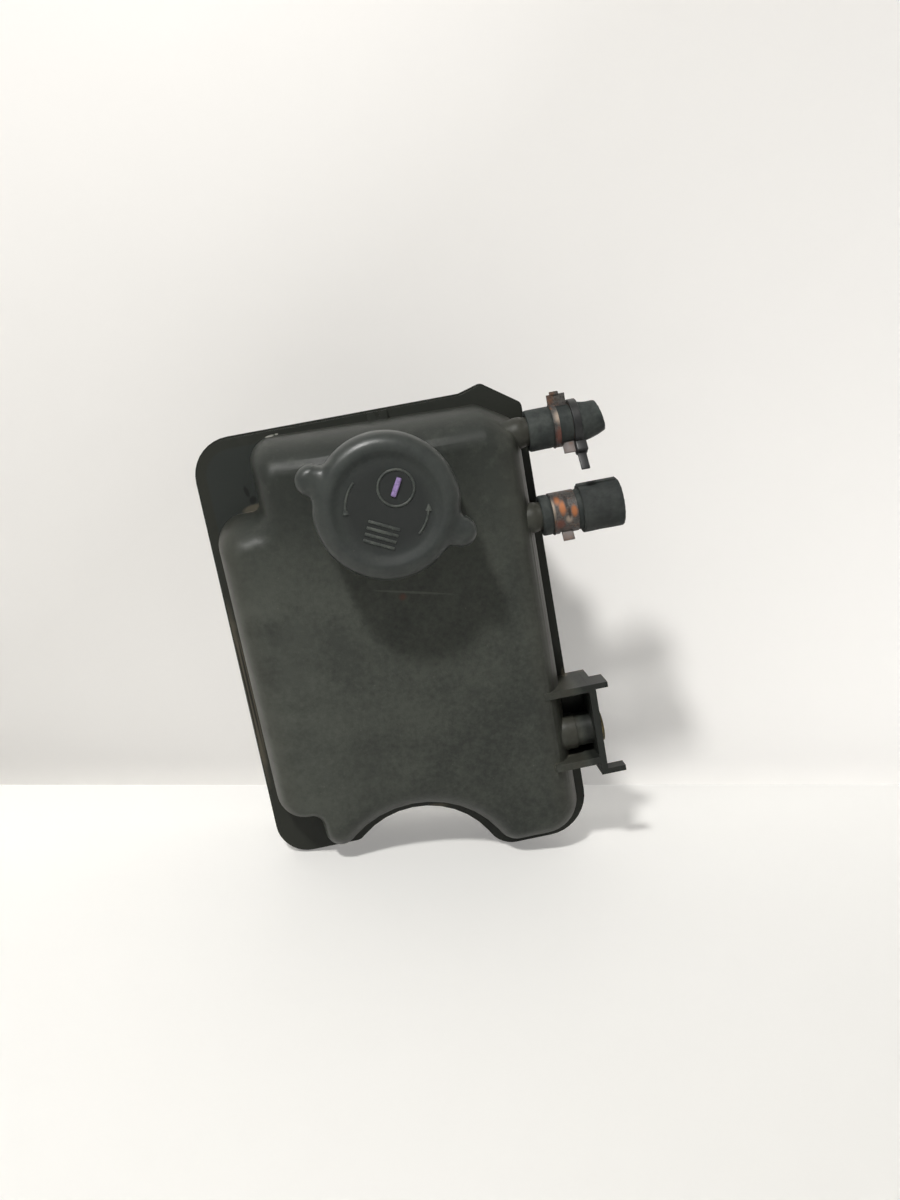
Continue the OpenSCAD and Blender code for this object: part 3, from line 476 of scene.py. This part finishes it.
def metalMaterial(name, settings):
    # metal in two tones where it is sound, and matt brown where it has corroded
    material, tree, place = startMaterial(name)
    own = tankPlace(tree, place)
    grain = metalGrain
    cloud = noise(tree, place, settings["patchMm"], 6, 0.7)
    rust = ramp(tree, cloud, settings["rustFrom"], settings["rustFrom"] + grain["rustEdge"])
    fine = noise(tree, place, grain["fineMm"], 5, 0.7)
    coat = mixColour(tree, ramp(tree, fine, *grain["coat"]), colour(settings["dark"]), colour(settings["light"]))
    rusted = mixColour(
        tree, ramp(tree, fine, *grain["rust"]), colour(settings["rustDark"]), colour(settings["rustLight"]),
    )
    base = mixColour(tree, rust, coat, rusted)
    for hexText, spots in settings["spots"].items():
        zone = {"colour": hexText, "share": grain["spotShare"]}
        masks = [patch(tree, own, fine, at, half, soft=grain["spotSoft"]) for at, half in spots]
        base = washed(tree, base, zone, most(tree, masks))
    bump = addNode(tree, "ShaderNodeBump", {
        "Height": times(tree, rust, fine), "Strength": grain["rustBump"], "Distance": grain["rustDepth"],
    })
    shader = addNode(tree, "ShaderNodeBsdfPrincipled", {
        "Base Color": base, "Roughness": ramp(tree, rust, 0, 1, settings["rough"], grain["rustRough"]),
        "Metallic": ramp(tree, rust, 0, 1, settings["metal"], 0), "Normal": bump.outputs["Normal"],
    })
    endMaterial(tree, shader)
    return material


# rolled spring steel of a hose clamp, once coated: grey where the coat holds, pinkish and orange with rust
clampSteel = metalMaterial("rustedClampSteel", {
    "patchMm": 4.2, "rustFrom": 0.5, "rustDark": "#4a3328", "rustLight": "#7d5a42", "dark": "#2e2c2a",
    "light": "#5b5855", "rough": 0.5, "metal": 0.35, "spots": {
        # orange rust
        "#a9683c": [
            ((76.0, -28.8, 159.8), (1.3, 4, 2)), ((77.6, -28.8, 156.4), (1.3, 4, 2.8)),
            ((82.4, -28.6, 154.3), (1.2, 4, 2.2)),
        ],
        # pale bare spots
        "#97897b": [
            ((82.2, -28.8, 193.6), (1.8, 4, 2.6)), ((74.0, -28.6, 156.5), (0.6, 4, 4)),
            ((79.8, -28.6, 151.2), (1.3, 4, 1.4)),
        ],
        # red-brown rust
        "#63392f": [((81.8, -28.4, 185.6), (2.2, 5, 3.2)), ((76, -28, 149.6), (1.8, 5, 1.8))],
        # old coat on the tangs
        "#7d7674": [((85.4, -30, 180), (3, 6, 3.2)), ((78.6, -30, 145), (3, 6, 2.4))],
        # painted shade in the bands' gaps and beside the tie
        "#1c1a19": [
            ((84.2, -28.8, 190), (0.9, 4, 3)), ((79.6, -28.8, 158.6), (0.8, 4, 3)),
            ((80.3, -28.4, 154), (0.6, 4, 2.4)),
        ],
    },
})
# drawn stainless wire and turned pins: bright, with a clean narrow shine
valveSteel = metalMaterial("brightSpringSteel", {
    "patchMm": 9, "rustFrom": 0.9, "rustDark": "#5a3018", "rustLight": "#a9612c", "dark": "#a9acaf",
    "light": "#b9bcbf", "rough": 0.28, "metal": 1.0, "spots": {},
})
# turned brass of a moulded-in insert: yellow gone brown and dull
insertBrass = metalMaterial("dulledInsertBrass", {
    "patchMm": 2.6, "rustFrom": 0.42, "rustDark": "#4b4538", "rustLight": "#6b6047", "dark": "#6f6442",
    "light": "#94865c", "rough": 0.45, "metal": 0.7, "spots": {},
})


def paintMaterial(name, settings):
    # a thin coat of marking paint printed on the moulded relief, worn at its edges
    material, tree, place = startMaterial(name)
    wear = ramp(tree, noise(tree, place, settings["wearMm"], 5, 0.7), *settings["wear"])
    base = mixColour(tree, wear, colour(settings["fresh"]), colour(settings["worn"]))
    shader = addNode(tree, "ShaderNodeBsdfPrincipled", {
        "Base Color": base, "Roughness": settings["rough"], "IOR": settings["ior"],
    })
    endMaterial(tree, shader)
    return material


violetPaint = paintMaterial("wornVioletPaint", {
    "fresh": "#9a82b6", "worn": "#6a5a80", "wearMm": 1.1, "wear": (0.3, 0.72), "rough": 0.55, "ior": 1.5,
})
print("materials made")


# pieces

# an edge stays sharp where it turns by more than this, in degrees
sharpOver = {"shell": 32, "remeshedFrom": 30, "clamp": 35, "spring": 50, "thread": 30}
# points nearer than this are joined: in metres on a copied mesh, in millimetres on a made one
joinWithin = {"copied": 2e-6, "made": 1e-4}


def addPiece(pieceName, mesh):
    piece = bpy.data.objects.new(pieceName, mesh)
    bpy.context.collection.objects.link(piece)
    return piece


def setMaterial(piece, material):
    piece.data.materials.clear()
    piece.data.materials.append(material)


def finishPiece(piece, body, material, replaced=()):
    setMaterial(piece, material)
    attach(piece, body)
    if replaced:
        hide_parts(*replaced)


def smoothShade(mesh, sharpAngle):
    for polygon in mesh.polygons:
        polygon.use_smooth = True
    mesh.set_sharp_from_angle(angle=math.radians(sharpAngle))


def copyNode(nodeName, pieceName, sharpAngle):
    # a copy of the CAD mesh, with its doubled points joined and its shading made anew
    mesh = nodes[nodeName].data.copy()
    for layer in [a.name for a in mesh.attributes if a.name == "custom_normal"]:
        mesh.attributes.remove(mesh.attributes[layer])
    shape = bmesh.new()
    shape.from_mesh(mesh)
    bmesh.ops.remove_doubles(shape, verts=shape.verts, dist=joinWithin["copied"])
    shape.to_mesh(mesh)
    shape.free()
    smoothShade(mesh, sharpAngle)
    return addPiece(pieceName, mesh)


def addWeighted(piece):
    modifier = piece.modifiers.new("facesFirst", "WEIGHTED_NORMAL")
    modifier.mode = "FACE_AREA"
    modifier.weight = 90
    modifier.keep_sharp = True


def closeShape(shape, pieceName, placing, sharpAngle=40):
    # a shape worked in millimetres becomes a piece in the frame
    bmesh.ops.remove_doubles(shape, verts=shape.verts, dist=joinWithin["made"])
    bmesh.ops.recalc_face_normals(shape, faces=shape.faces)
    bmesh.ops.transform(shape, matrix=placing, verts=shape.verts)
    mesh = bpy.data.meshes.new(pieceName)
    shape.to_mesh(mesh)
    shape.free()
    smoothShade(mesh, sharpAngle)
    return addPiece(pieceName, mesh)


def addBar(shape, centre, size, edgeR, turn=Matrix.Identity(4), segments=3):
    placing = Matrix.Translation(centre) @ turn @ Matrix.Diagonal((*size, 1))
    made = bmesh.ops.create_cube(shape, size=1, matrix=placing)
    edges = list({edge for vert in made["verts"] for edge in vert.link_edges})
    bmesh.ops.bevel(
        shape, geom=edges, offset=edgeR, offset_type="OFFSET", affect="EDGES",
        segments=segments, profile=0.5, material=-1,
    )


def addSpun(shape, outline, angle, steps, turn=Matrix.Identity(4), rise=0):
    # turns an outline in radius and height round the local Z axis, rising by a step each time for a thread
    verts = [shape.verts.new(turn @ Vector((radius, 0, height))) for radius, height in outline]
    edges = [shape.edges.new((verts[i], verts[(i + 1) % len(verts)])) for i in range(len(verts))]
    axis = turn.to_3x3() @ Vector((0, 0, 1))
    whole = abs(angle) >= 360 and not rise
    made = bmesh.ops.spin(
        shape, geom=verts + edges, cent=turn.translation, axis=axis, dvec=axis * rise / steps,
        angle=math.radians(angle), steps=steps, use_merge=whole,
    )
    if not whole:
        last = [item for item in made["geom_last"] if isinstance(item, bmesh.types.BMEdge)]
        bmesh.ops.edgeloop_fill(shape, edges=edges)
        bmesh.ops.edgeloop_fill(shape, edges=last)


def circleOutline(radius, height, tubeR, count=10):
    turns = [2 * math.pi * i / count for i in range(count)]
    return [(radius + tubeR * math.cos(q), height + tubeR * math.sin(q)) for q in turns]


def relax(shape, verts, count):
    for _ in range(count):
        bmesh.ops.smooth_vert(shape, verts=verts, factor=0.5, use_axis_x=True, use_axis_y=True, use_axis_z=True)


def remeshed(piece, voxelMm, smoothTimes, sharpAngle=60):
    # even small faces, smoothed so that sharp edges turn round
    modifier = piece.modifiers.new("voxels", "REMESH")
    modifier.mode = "VOXEL"
    modifier.voxel_size = voxelMm * mm
    depsgraph = bpy.context.evaluated_depsgraph_get()
    mesh = bpy.data.meshes.new_from_object(piece.evaluated_get(depsgraph))
    piece.modifiers.clear()
    piece.data = mesh
    shape = bmesh.new()
    shape.from_mesh(mesh)
    relax(shape, shape.verts, smoothTimes)
    shape.to_mesh(mesh)
    shape.free()
    smoothShade(mesh, sharpAngle)
    return piece


shells = {"front_shell": "frontShell", "rear_shell": "rearShell"}
for nodeName, pieceName in shells.items():
    shell = copyNode(nodeName, pieceName, sharpOver["shell"])
    addWeighted(shell)
    finishPiece(shell, "tank", shellNylon, [nodeName])
print("shells copied")


# the screw cap, its relief and its thread

capSettings = {
    "centre": (6, 173.5), "discY": -60.96, "voxelMm": 0.42, "smoothTimes": 10,
    "earAngles": (-29.4, 150.6), "earSpan": 25, "blendFrom": 25.8, "blendTo": 31.5, "blendTimes": 60,
}
cap = copyNode("cap_shell", "screwCap", sharpOver["remeshedFrom"])
cap = remeshed(cap, capSettings["voxelMm"], capSettings["smoothTimes"])
# the ears run out of the rim in one soft sweep
shape = bmesh.new()
shape.from_mesh(cap.data)
blended = []
for vert in shape.verts:
    own = frameToTank @ vert.co
    right, up = own.x - capSettings["centre"][0], own.z - capSettings["centre"][1]
    turn = math.degrees(math.atan2(up, right))
    fromEar = min(abs((turn - angle + 180) % 360 - 180) for angle in capSettings["earAngles"])
    reach = math.hypot(right, up)
    if fromEar < capSettings["earSpan"] and capSettings["blendFrom"] < reach < capSettings["blendTo"]:
        blended.append(vert)
relax(shape, blended, capSettings["blendTimes"])
shape.to_mesh(cap.data)
shape.free()
finishPiece(cap, "cap", capNylon, ["cap_shell"])

# on the disc, x runs right, y up and z out towards the front
discPlace = onTank(capSettings["centre"][0], capSettings["discY"], capSettings["centre"][1])
towardsFront = Matrix.Rotation(math.radians(90), 4, "X") @ Matrix.Scale(mm, 4)
onDisc = Matrix.Translation(discPlace) @ towardsFront
relief = {
    "tubeR": 0.5, "ringR": 6.9, "ringAt": (3.4, 7.4), "ringSteps": 48,
    "arcR": 15.7, "arcs": ((143, 42), (-40, 40)), "arcSteps": 14,
    "tips": ((185, -90), (0, 90)), "tipR": (1.3, 0.25), "tipL": 2.6, "tipFlat": 0.45, "tipSegments": 12,
    "ribCount": 4, "ribStep": 2.5, "ribSize": (12.5, 1.2, 1), "ribsAt": (-2.2, -10.4), "ribTurn": -16, "ribEdge": 0.35,
    "barSize": (7.6, 2.1, 1.3), "barAt": (3.5, 7.7), "barTurn": 71, "barRise": 0.35, "barEdge": 0.6, "barSegments": 4,
}
shape = bmesh.new()
ringTurn = Matrix.Translation((*relief["ringAt"], 0))
addSpun(shape, circleOutline(relief["ringR"], 0, relief["tubeR"]), 360, relief["ringSteps"], ringTurn)
for start, span in relief["arcs"]:
    turn = Matrix.Rotation(math.radians(start), 4, "Z")
    addSpun(shape, circleOutline(relief["arcR"], 0, relief["tubeR"]), span, relief["arcSteps"], turn)
for angle, heading in relief["tips"]:
    tip = (
        Matrix.Rotation(math.radians(angle), 4, "Z") @ Matrix.Translation((relief["arcR"], 0, 0))
        @ Matrix.Rotation(math.radians(heading), 4, "Z") @ Matrix.Rotation(math.radians(90), 4, "Y")
        @ Matrix.Diagonal((relief["tipFlat"], 1, 1, 1))
    )
    bmesh.ops.create_cone(
        shape, cap_ends=True, segments=relief["tipSegments"], radius1=relief["tipR"][0], radius2=relief["tipR"][1],
        depth=relief["tipL"], matrix=tip,
    )
ribTurn = Matrix.Rotation(math.radians(relief["ribTurn"]), 4, "Z")
for i in range(relief["ribCount"]):
    offset = ribTurn @ Vector((0, (i - (relief["ribCount"] - 1) / 2) * relief["ribStep"], 0))
    addBar(shape, Vector((*relief["ribsAt"], 0)) + offset, relief["ribSize"], relief["ribEdge"], ribTurn)
finishPiece(closeShape(shape, "capRelief", onDisc), "cap", capRelief)
shape = bmesh.new()
barTurn = Matrix.Rotation(math.radians(relief["barTurn"]), 4, "Z")
barPlace = (*relief["barAt"], relief["barRise"])
addBar(shape, barPlace, relief["barSize"], relief["barEdge"], barTurn, relief["barSegments"])
finishPiece(closeShape(shape, "paintedBar", onDisc), "cap", violetPaint)

# the neck's thread and the cap's own, which run half a pitch apart
onNeck = Matrix.Translation(onTank(capSettings["centre"][0], 0, capSettings["centre"][1])) @ towardsFront
thread = {"pitch": 6, "root": 2.2, "crest": 1, "turns": 1.5, "steps": 72}
threads = {
    "neckThread": {
        "body": "tank", "material": shellNylon, "slot": "shell_nylon", "rootR": 22.6, "crestR": 24.3, "start": 37,
    },
    "capThread": {
        "body": "cap", "material": capNylon, "slot": "cap_nylon", "rootR": 26.3, "crestR": 24.7, "start": 43.5,
    },
}
for pieceName, settings in threads.items():
    shape = bmesh.new()
    near, far, root, crest = settings["rootR"], settings["crestR"], thread["root"] / 2, thread["crest"] / 2
    outline = [(near, -root), (far, -crest), (far, crest), (near, root)]
    turn = Matrix.Translation((0, 0, settings["start"]))
    addSpun(shape, outline, 360 * thread["turns"], thread["steps"], turn, thread["pitch"] * thread["turns"])
    piece = closeShape(shape, pieceName, onNeck, sharpOver["thread"])
    finishPiece(piece, settings["body"], settings["material"])
print("cap shaped")


# hoses, their sleeve, the clamps and the cable tie

hoses = {
    "y": -20, "upperZ": 189.4, "lowerZ": 153.4, "voxelMm": 0.45, "smoothTimes": 3,
    "waveMm": 0.16, "waveSizeMm": 7, "bendFrom": 91.5, "bendOver": 6, "bendDegrees": 13,
}


def onHose(height, along, degrees):
    # local x points away from the hose's axis, at an angle from straight down towards the front; z runs along it
    place = Matrix.Translation((along, hoses["y"], height))
    turn = Matrix.Rotation(math.radians(90), 4, "Y") @ Matrix.Rotation(math.radians(-degrees), 4, "Z")
    return tankToFrame @ place @ turn


def bent(own, height, bend):
    # round an arc as far as bendOver, then straight on
    past = own.x - hoses["bendFrom"]
    if not bend or past <= 0:
        return own
    radius = hoses["bendOver"] / math.radians(bend)
    turned = min(past, hoses["bendOver"]) / radius
    rest = max(0, past - hoses["bendOver"])
    off = own.z - height
    along = hoses["bendFrom"] + radius * math.sin(turned) + rest * math.cos(turned) - off * math.sin(turned)
    up = height + radius * (1 - math.cos(turned)) + rest * math.sin(turned) + off * math.cos(turned)
    return Vector((along, own.y, up))


def softened(nodeName, pieceName, height, bend=0):
    # a hose with rounded ends and a slightly uneven skin
    piece = copyNode(nodeName, pieceName, sharpOver["remeshedFrom"])
    piece = remeshed(piece, hoses["voxelMm"], hoses["smoothTimes"])
    for vert in piece.data.vertices:
        own = frameToTank @ vert.co
        away = Vector((0, own.y - hoses["y"], own.z - height))
        wave = mathutils.noise.noise(own / hoses["waveSizeMm"] + Vector((height, 0, 0)))
        own += away.normalized() * wave * hoses["waveMm"]
        vert.co = tankToFrame @ bent(own, height, bend)
    return piece


for nodeName, pieceName, height, bend, material in (
    ("upper_hose", "upperHose", hoses["upperZ"], hoses["bendDegrees"], hoseRubber),
    ("lower_hose", "lowerHose", hoses["lowerZ"], 0, hoseRubber),
    ("lower_hose_sleeve", "lowerHoseSleeve", hoses["lowerZ"], 0, sleeveRubber),
):
    finishPiece(softened(nodeName, pieceName, height, bend), "tank", material, [nodeName])

# the sleeve's overlapped edge, which stands up along its top
seam = {
    "from": 86.2, "to": 103.7, "radius": 10.3, "aside": 0.4, "degrees": 172, "wide": 3.2, "thick": 1, "edge": 0.3,
    "back": 0.5, "short": 0.6,
}
shape = bmesh.new()
seamL = seam["to"] - seam["from"]
seamAt = (seam["radius"], seam["aside"], seamL / 2 - seam["back"])
addBar(shape, seamAt, (seam["thick"], seam["wide"], seamL - seam["short"]), seam["edge"])
piece = closeShape(shape, "sleeveSeam", onHose(hoses["lowerZ"], seam["from"], seam["degrees"]))
finishPiece(piece, "tank", sleeveRubber)

for nodeName, pieceName, material, slotName in (
    ("upper_clamp", "upperClamp", clampSteel, "clamp_steel"),
    ("lower_clamp", "lowerClamp", clampSteel, "clamp_steel"),
    ("bolt_insert", "boltInsert", insertBrass, "insert_brass"),
):
    finishPiece(copyNode(nodeName, pieceName, sharpOver["clamp"]), "tank", material, [nodeName])

# the bands' rolled lips, and the knob that stands on the upper one
clamps = {
    "bandR": 8.9, "upperAt": 79.6, "lowerAt": 73.6, "lipR": 0.35, "lipIn": 0.1, "lipSpan": 210, "lipSteps": 28,
    "lipDegrees": 100, "knobOut": 4.5, "knobAlong": 3.2, "knobSize": (1.6, 1.8, 3.6), "knobEdge": 0.4,
}
for pieceName, height, along in (
    ("upperClampLip", hoses["upperZ"], clamps["upperAt"]), ("lowerClampLip", hoses["lowerZ"], clamps["lowerAt"]),
):
    shape = bmesh.new()
    outline = circleOutline(clamps["bandR"] - clamps["lipIn"], clamps["lipR"], clamps["lipR"])
    addSpun(shape, outline, clamps["lipSpan"], clamps["lipSteps"])
    piece = closeShape(shape, pieceName, onHose(height, along, clamps["lipDegrees"]))
    finishPiece(piece, "tank", clampSteel)
shape = bmesh.new()
addBar(shape, (clamps["bandR"] + clamps["knobOut"], 0, clamps["knobAlong"]), clamps["knobSize"], clamps["knobEdge"])
piece = closeShape(shape, "upperClampKnob", onHose(hoses["upperZ"], clamps["upperAt"], 180))
finishPiece(piece, "tank", clampSteel)

tie = {
    "at": 87.4, "radius": 8.9, "thick": 1.1, "width": 3.6, "sideGap": 0.1, "chamfer": 0.2, "degrees": 30, "steps": 60,
    "head": 5, "headOut": 0.2, "headAlong": 0.5, "headEdge": 0.8, "headSegments": 4,
    "tailL": 8.5, "tailIn": 0.8, "tailAlong": 0.2, "tailEdge": 0.25,
    "toothFrom": 0.6, "toothStep": 0.9, "toothSize": (0.4, 0.3), "toothMargin": 1.2, "toothEdge": 0.08,
}
shape = bmesh.new()
inner, outer, chamfer = tie["radius"], tie["radius"] + tie["thick"], tie["chamfer"]
wide, midway = tie["width"], tie["width"] / 2
low, high = tie["sideGap"], wide - tie["sideGap"]
strap = [
    (inner, low), (outer - chamfer, low), (outer, low + chamfer),
    (outer, high - chamfer), (outer - chamfer, high), (inner, high),
]
addSpun(shape, strap, 360, tie["steps"])
headAt = (inner + tie["head"] / 2 + tie["headOut"], 0, midway + tie["headAlong"])
addBar(shape, headAt, (tie["head"],) * 3, tie["headEdge"], Matrix.Identity(4), tie["headSegments"])
tailFrom = inner + tie["head"]
tailAt = (tailFrom + tie["tailL"] / 2 - tie["tailIn"], 0, midway + tie["tailAlong"])
addBar(shape, tailAt, (tie["tailL"], tie["thick"], wide), tie["tailEdge"])
for i in range(int(tie["tailL"] / tie["toothStep"]) - 2):
    toothAt = (tailFrom + tie["toothFrom"] + i * tie["toothStep"], tie["thick"] / 2, midway + tie["tailAlong"])
    addBar(shape, toothAt, (*tie["toothSize"], wide - tie["toothMargin"]), tie["toothEdge"], Matrix.Identity(4), 1)
piece = closeShape(shape, "cableTie", onHose(hoses["upperZ"], tie["at"], tie["degrees"]))
finishPiece(piece, "tank", tiePlastic, ["cable_tie"])
print("hoses, clamps and tie made")

for nodeName, material in (
    ("valve_housing", valvePlastic), ("spring_retainer", valvePlastic), ("housing_ring", sealRubber),
    ("lip_seal", sealRubber), ("relief_seal", sealRubber), ("relief_plunger", valveSteel),
    ("vacuum_valve", valveSteel), ("vacuum_clip", valveSteel),
):
    setMaterial(nodes[nodeName], material)

# each spring is copied with its shading made anew and joins its valve's body; the end that stays and the valve's
# travel are listed but not used
springs = {
    "relief_spring": {
        "piece": "reliefSpring", "body": "cartridge", "joint": "relief_slide", "fixedAt": -0.0379, "travel": 0.0025,
    },
    "vacuum_spring": {
        "piece": "vacuumSpring", "body": "relief", "joint": "vacuum_slide", "fixedAt": -0.0235, "travel": 0.0012,
    },
}
for nodeName, settings in springs.items():
    low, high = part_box(nodeName)
    spring = copyNode(nodeName, settings["piece"], sharpOver["spring"])
    finishPiece(spring, settings["body"], valveSteel, [nodeName])
    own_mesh(spring)
print("valves finished")


# floor and wall

# the tank stands on a table whose back edge leaves a gap before the wall
stage = {
    "edgeAt": (-0.0611, 0.0869, 0), "turn": -4.97, "gap": 0.037, "step": 0.018, "reach": 3,
    "floorLift": (0.27, 0.31), "wallLift": (0.01, 0.38), "liftSpan": (-0.3, 0.25), "fade": (-0.35, 0.05),
    "floor": ("#e0dfdb", "#e5e4e1"), "wall": ("#e4e2df", "#e9e7e4"), "cloudMm": 180, "rough": 0.6, "glow": "#fffdfa",
}


def seenRays(tree):
    # 1 where the surface is seen directly, in a gloss or through something clear
    rays = addNode(tree, "ShaderNodeLightPath").outputs
    return most(tree, [rays["Is Camera Ray"], rays["Is Glossy Ray"], rays["Is Transmission Ray"]])


def stagePaint(name, tones, lift):
    # matt emulsion on a plain board: pale, and see-through from behind
    material, tree, place = startMaterial(name)
    base = mixColour(tree, noise(tree, place, stage["cloudMm"], 3, 0.5), colour(tones[0]), colour(tones[1]))
    paint = addNode(tree, "ShaderNodeBsdfPrincipled", {"Base Color": base, "Roughness": stage["rough"]})
    # seen directly or in a gloss, the paint is lifted towards white, most at the lower right and less near
    # the camera; its light on the tank stays as it is
    axes = axesOf(tree, place)
    strength = ramp(tree, calc(tree, "SUBTRACT", axes["X"], axes["Z"]), *stage["liftSpan"], *lift)
    strength = times(tree, strength, ramp(tree, axes["Y"], *stage["fade"]))
    glow = addNode(tree, "ShaderNodeEmission", {"Color": colour(stage["glow"]), "Strength": strength})
    lifted = addNode(tree, "ShaderNodeAddShader", {0: paint.outputs[0], 1: glow.outputs[0]})
    bright = addNode(tree, "ShaderNodeMixShader", {0: seenRays(tree), 1: paint.outputs[0], 2: lifted.outputs[0]})
    clear = addNode(tree, "ShaderNodeBsdfTransparent")
    behind = addNode(tree, "ShaderNodeNewGeometry").outputs["Backfacing"]
    endMaterial(tree, addNode(tree, "ShaderNodeMixShader", {0: behind, 1: bright.outputs[0], 2: clear.outputs[0]}))
    return material


def stageSheet(name, outline, facing, tones, lift):
    # a sheet drawn out sideways from an outline of heights behind the table's edge
    shape = bmesh.new()
    verts = [shape.verts.new((-stage["reach"], back, height)) for back, height in outline]
    edges = [shape.edges.new(pair) for pair in zip(verts, verts[1:])]
    made = bmesh.ops.extrude_edge_only(shape, edges=edges)["geom"]
    bmesh.ops.translate(
        shape, verts=[item for item in made if isinstance(item, bmesh.types.BMVert)], vec=(2 * stage["reach"], 0, 0),
    )
    shape.normal_update()
    shape.faces.ensure_lookup_table()
    if shape.faces[0].normal.dot(facing) < 0:
        bmesh.ops.reverse_faces(shape, faces=shape.faces)
    placing = Matrix.Translation(stage["edgeAt"]) @ Matrix.Rotation(math.radians(stage["turn"]), 4, "Z")
    bmesh.ops.transform(shape, matrix=placing, verts=shape.verts)
    mesh = bpy.data.meshes.new(name)
    shape.to_mesh(mesh)
    shape.free()
    sheet = addPiece(name, mesh)
    sheet.data.materials.append(stagePaint(name + "Paint", tones, lift))


# the room gives its soft light, and is pale where it is seen or mirrored
room = {"tint": (0.98, 0.985, 1, 1), "light": 0.13, "seenTint": "#f6f5f2", "seen": 0.72}
world = bpy.data.worlds.new("room")
world.use_nodes = True
tree = world.node_tree
tree.nodes.clear()
soft = addNode(tree, "ShaderNodeBackground", {"Color": room["tint"], "Strength": room["light"]})
pale = addNode(tree, "ShaderNodeBackground", {"Color": colour(room["seenTint"]), "Strength": room["seen"]})
both = addNode(tree, "ShaderNodeMixShader", {0: seenRays(tree), 1: soft.outputs[0], 2: pale.outputs[0]})
addNode(tree, "ShaderNodeOutputWorld", {"Surface": both.outputs[0]})
bpy.context.scene.world = world

# the floor drops into a groove before the wall, and goes on behind it
level = cadBox[0].z
sunk = level - stage["step"]
behindWall = stage["gap"] + mm
stageSheet("floor", (
    (-2 * stage["reach"], level), (0, level), (0, sunk), (behindWall, sunk), (behindWall, level), (stage["reach"], level),
), Vector((0, 0, 1)), stage["floor"], stage["floorLift"])
stageSheet("wall", (
    (stage["gap"], -stage["reach"]), (stage["gap"], stage["reach"]),
), Vector((0, -1, 0)), stage["wall"], stage["wallLift"])
print("floor and wall placed")
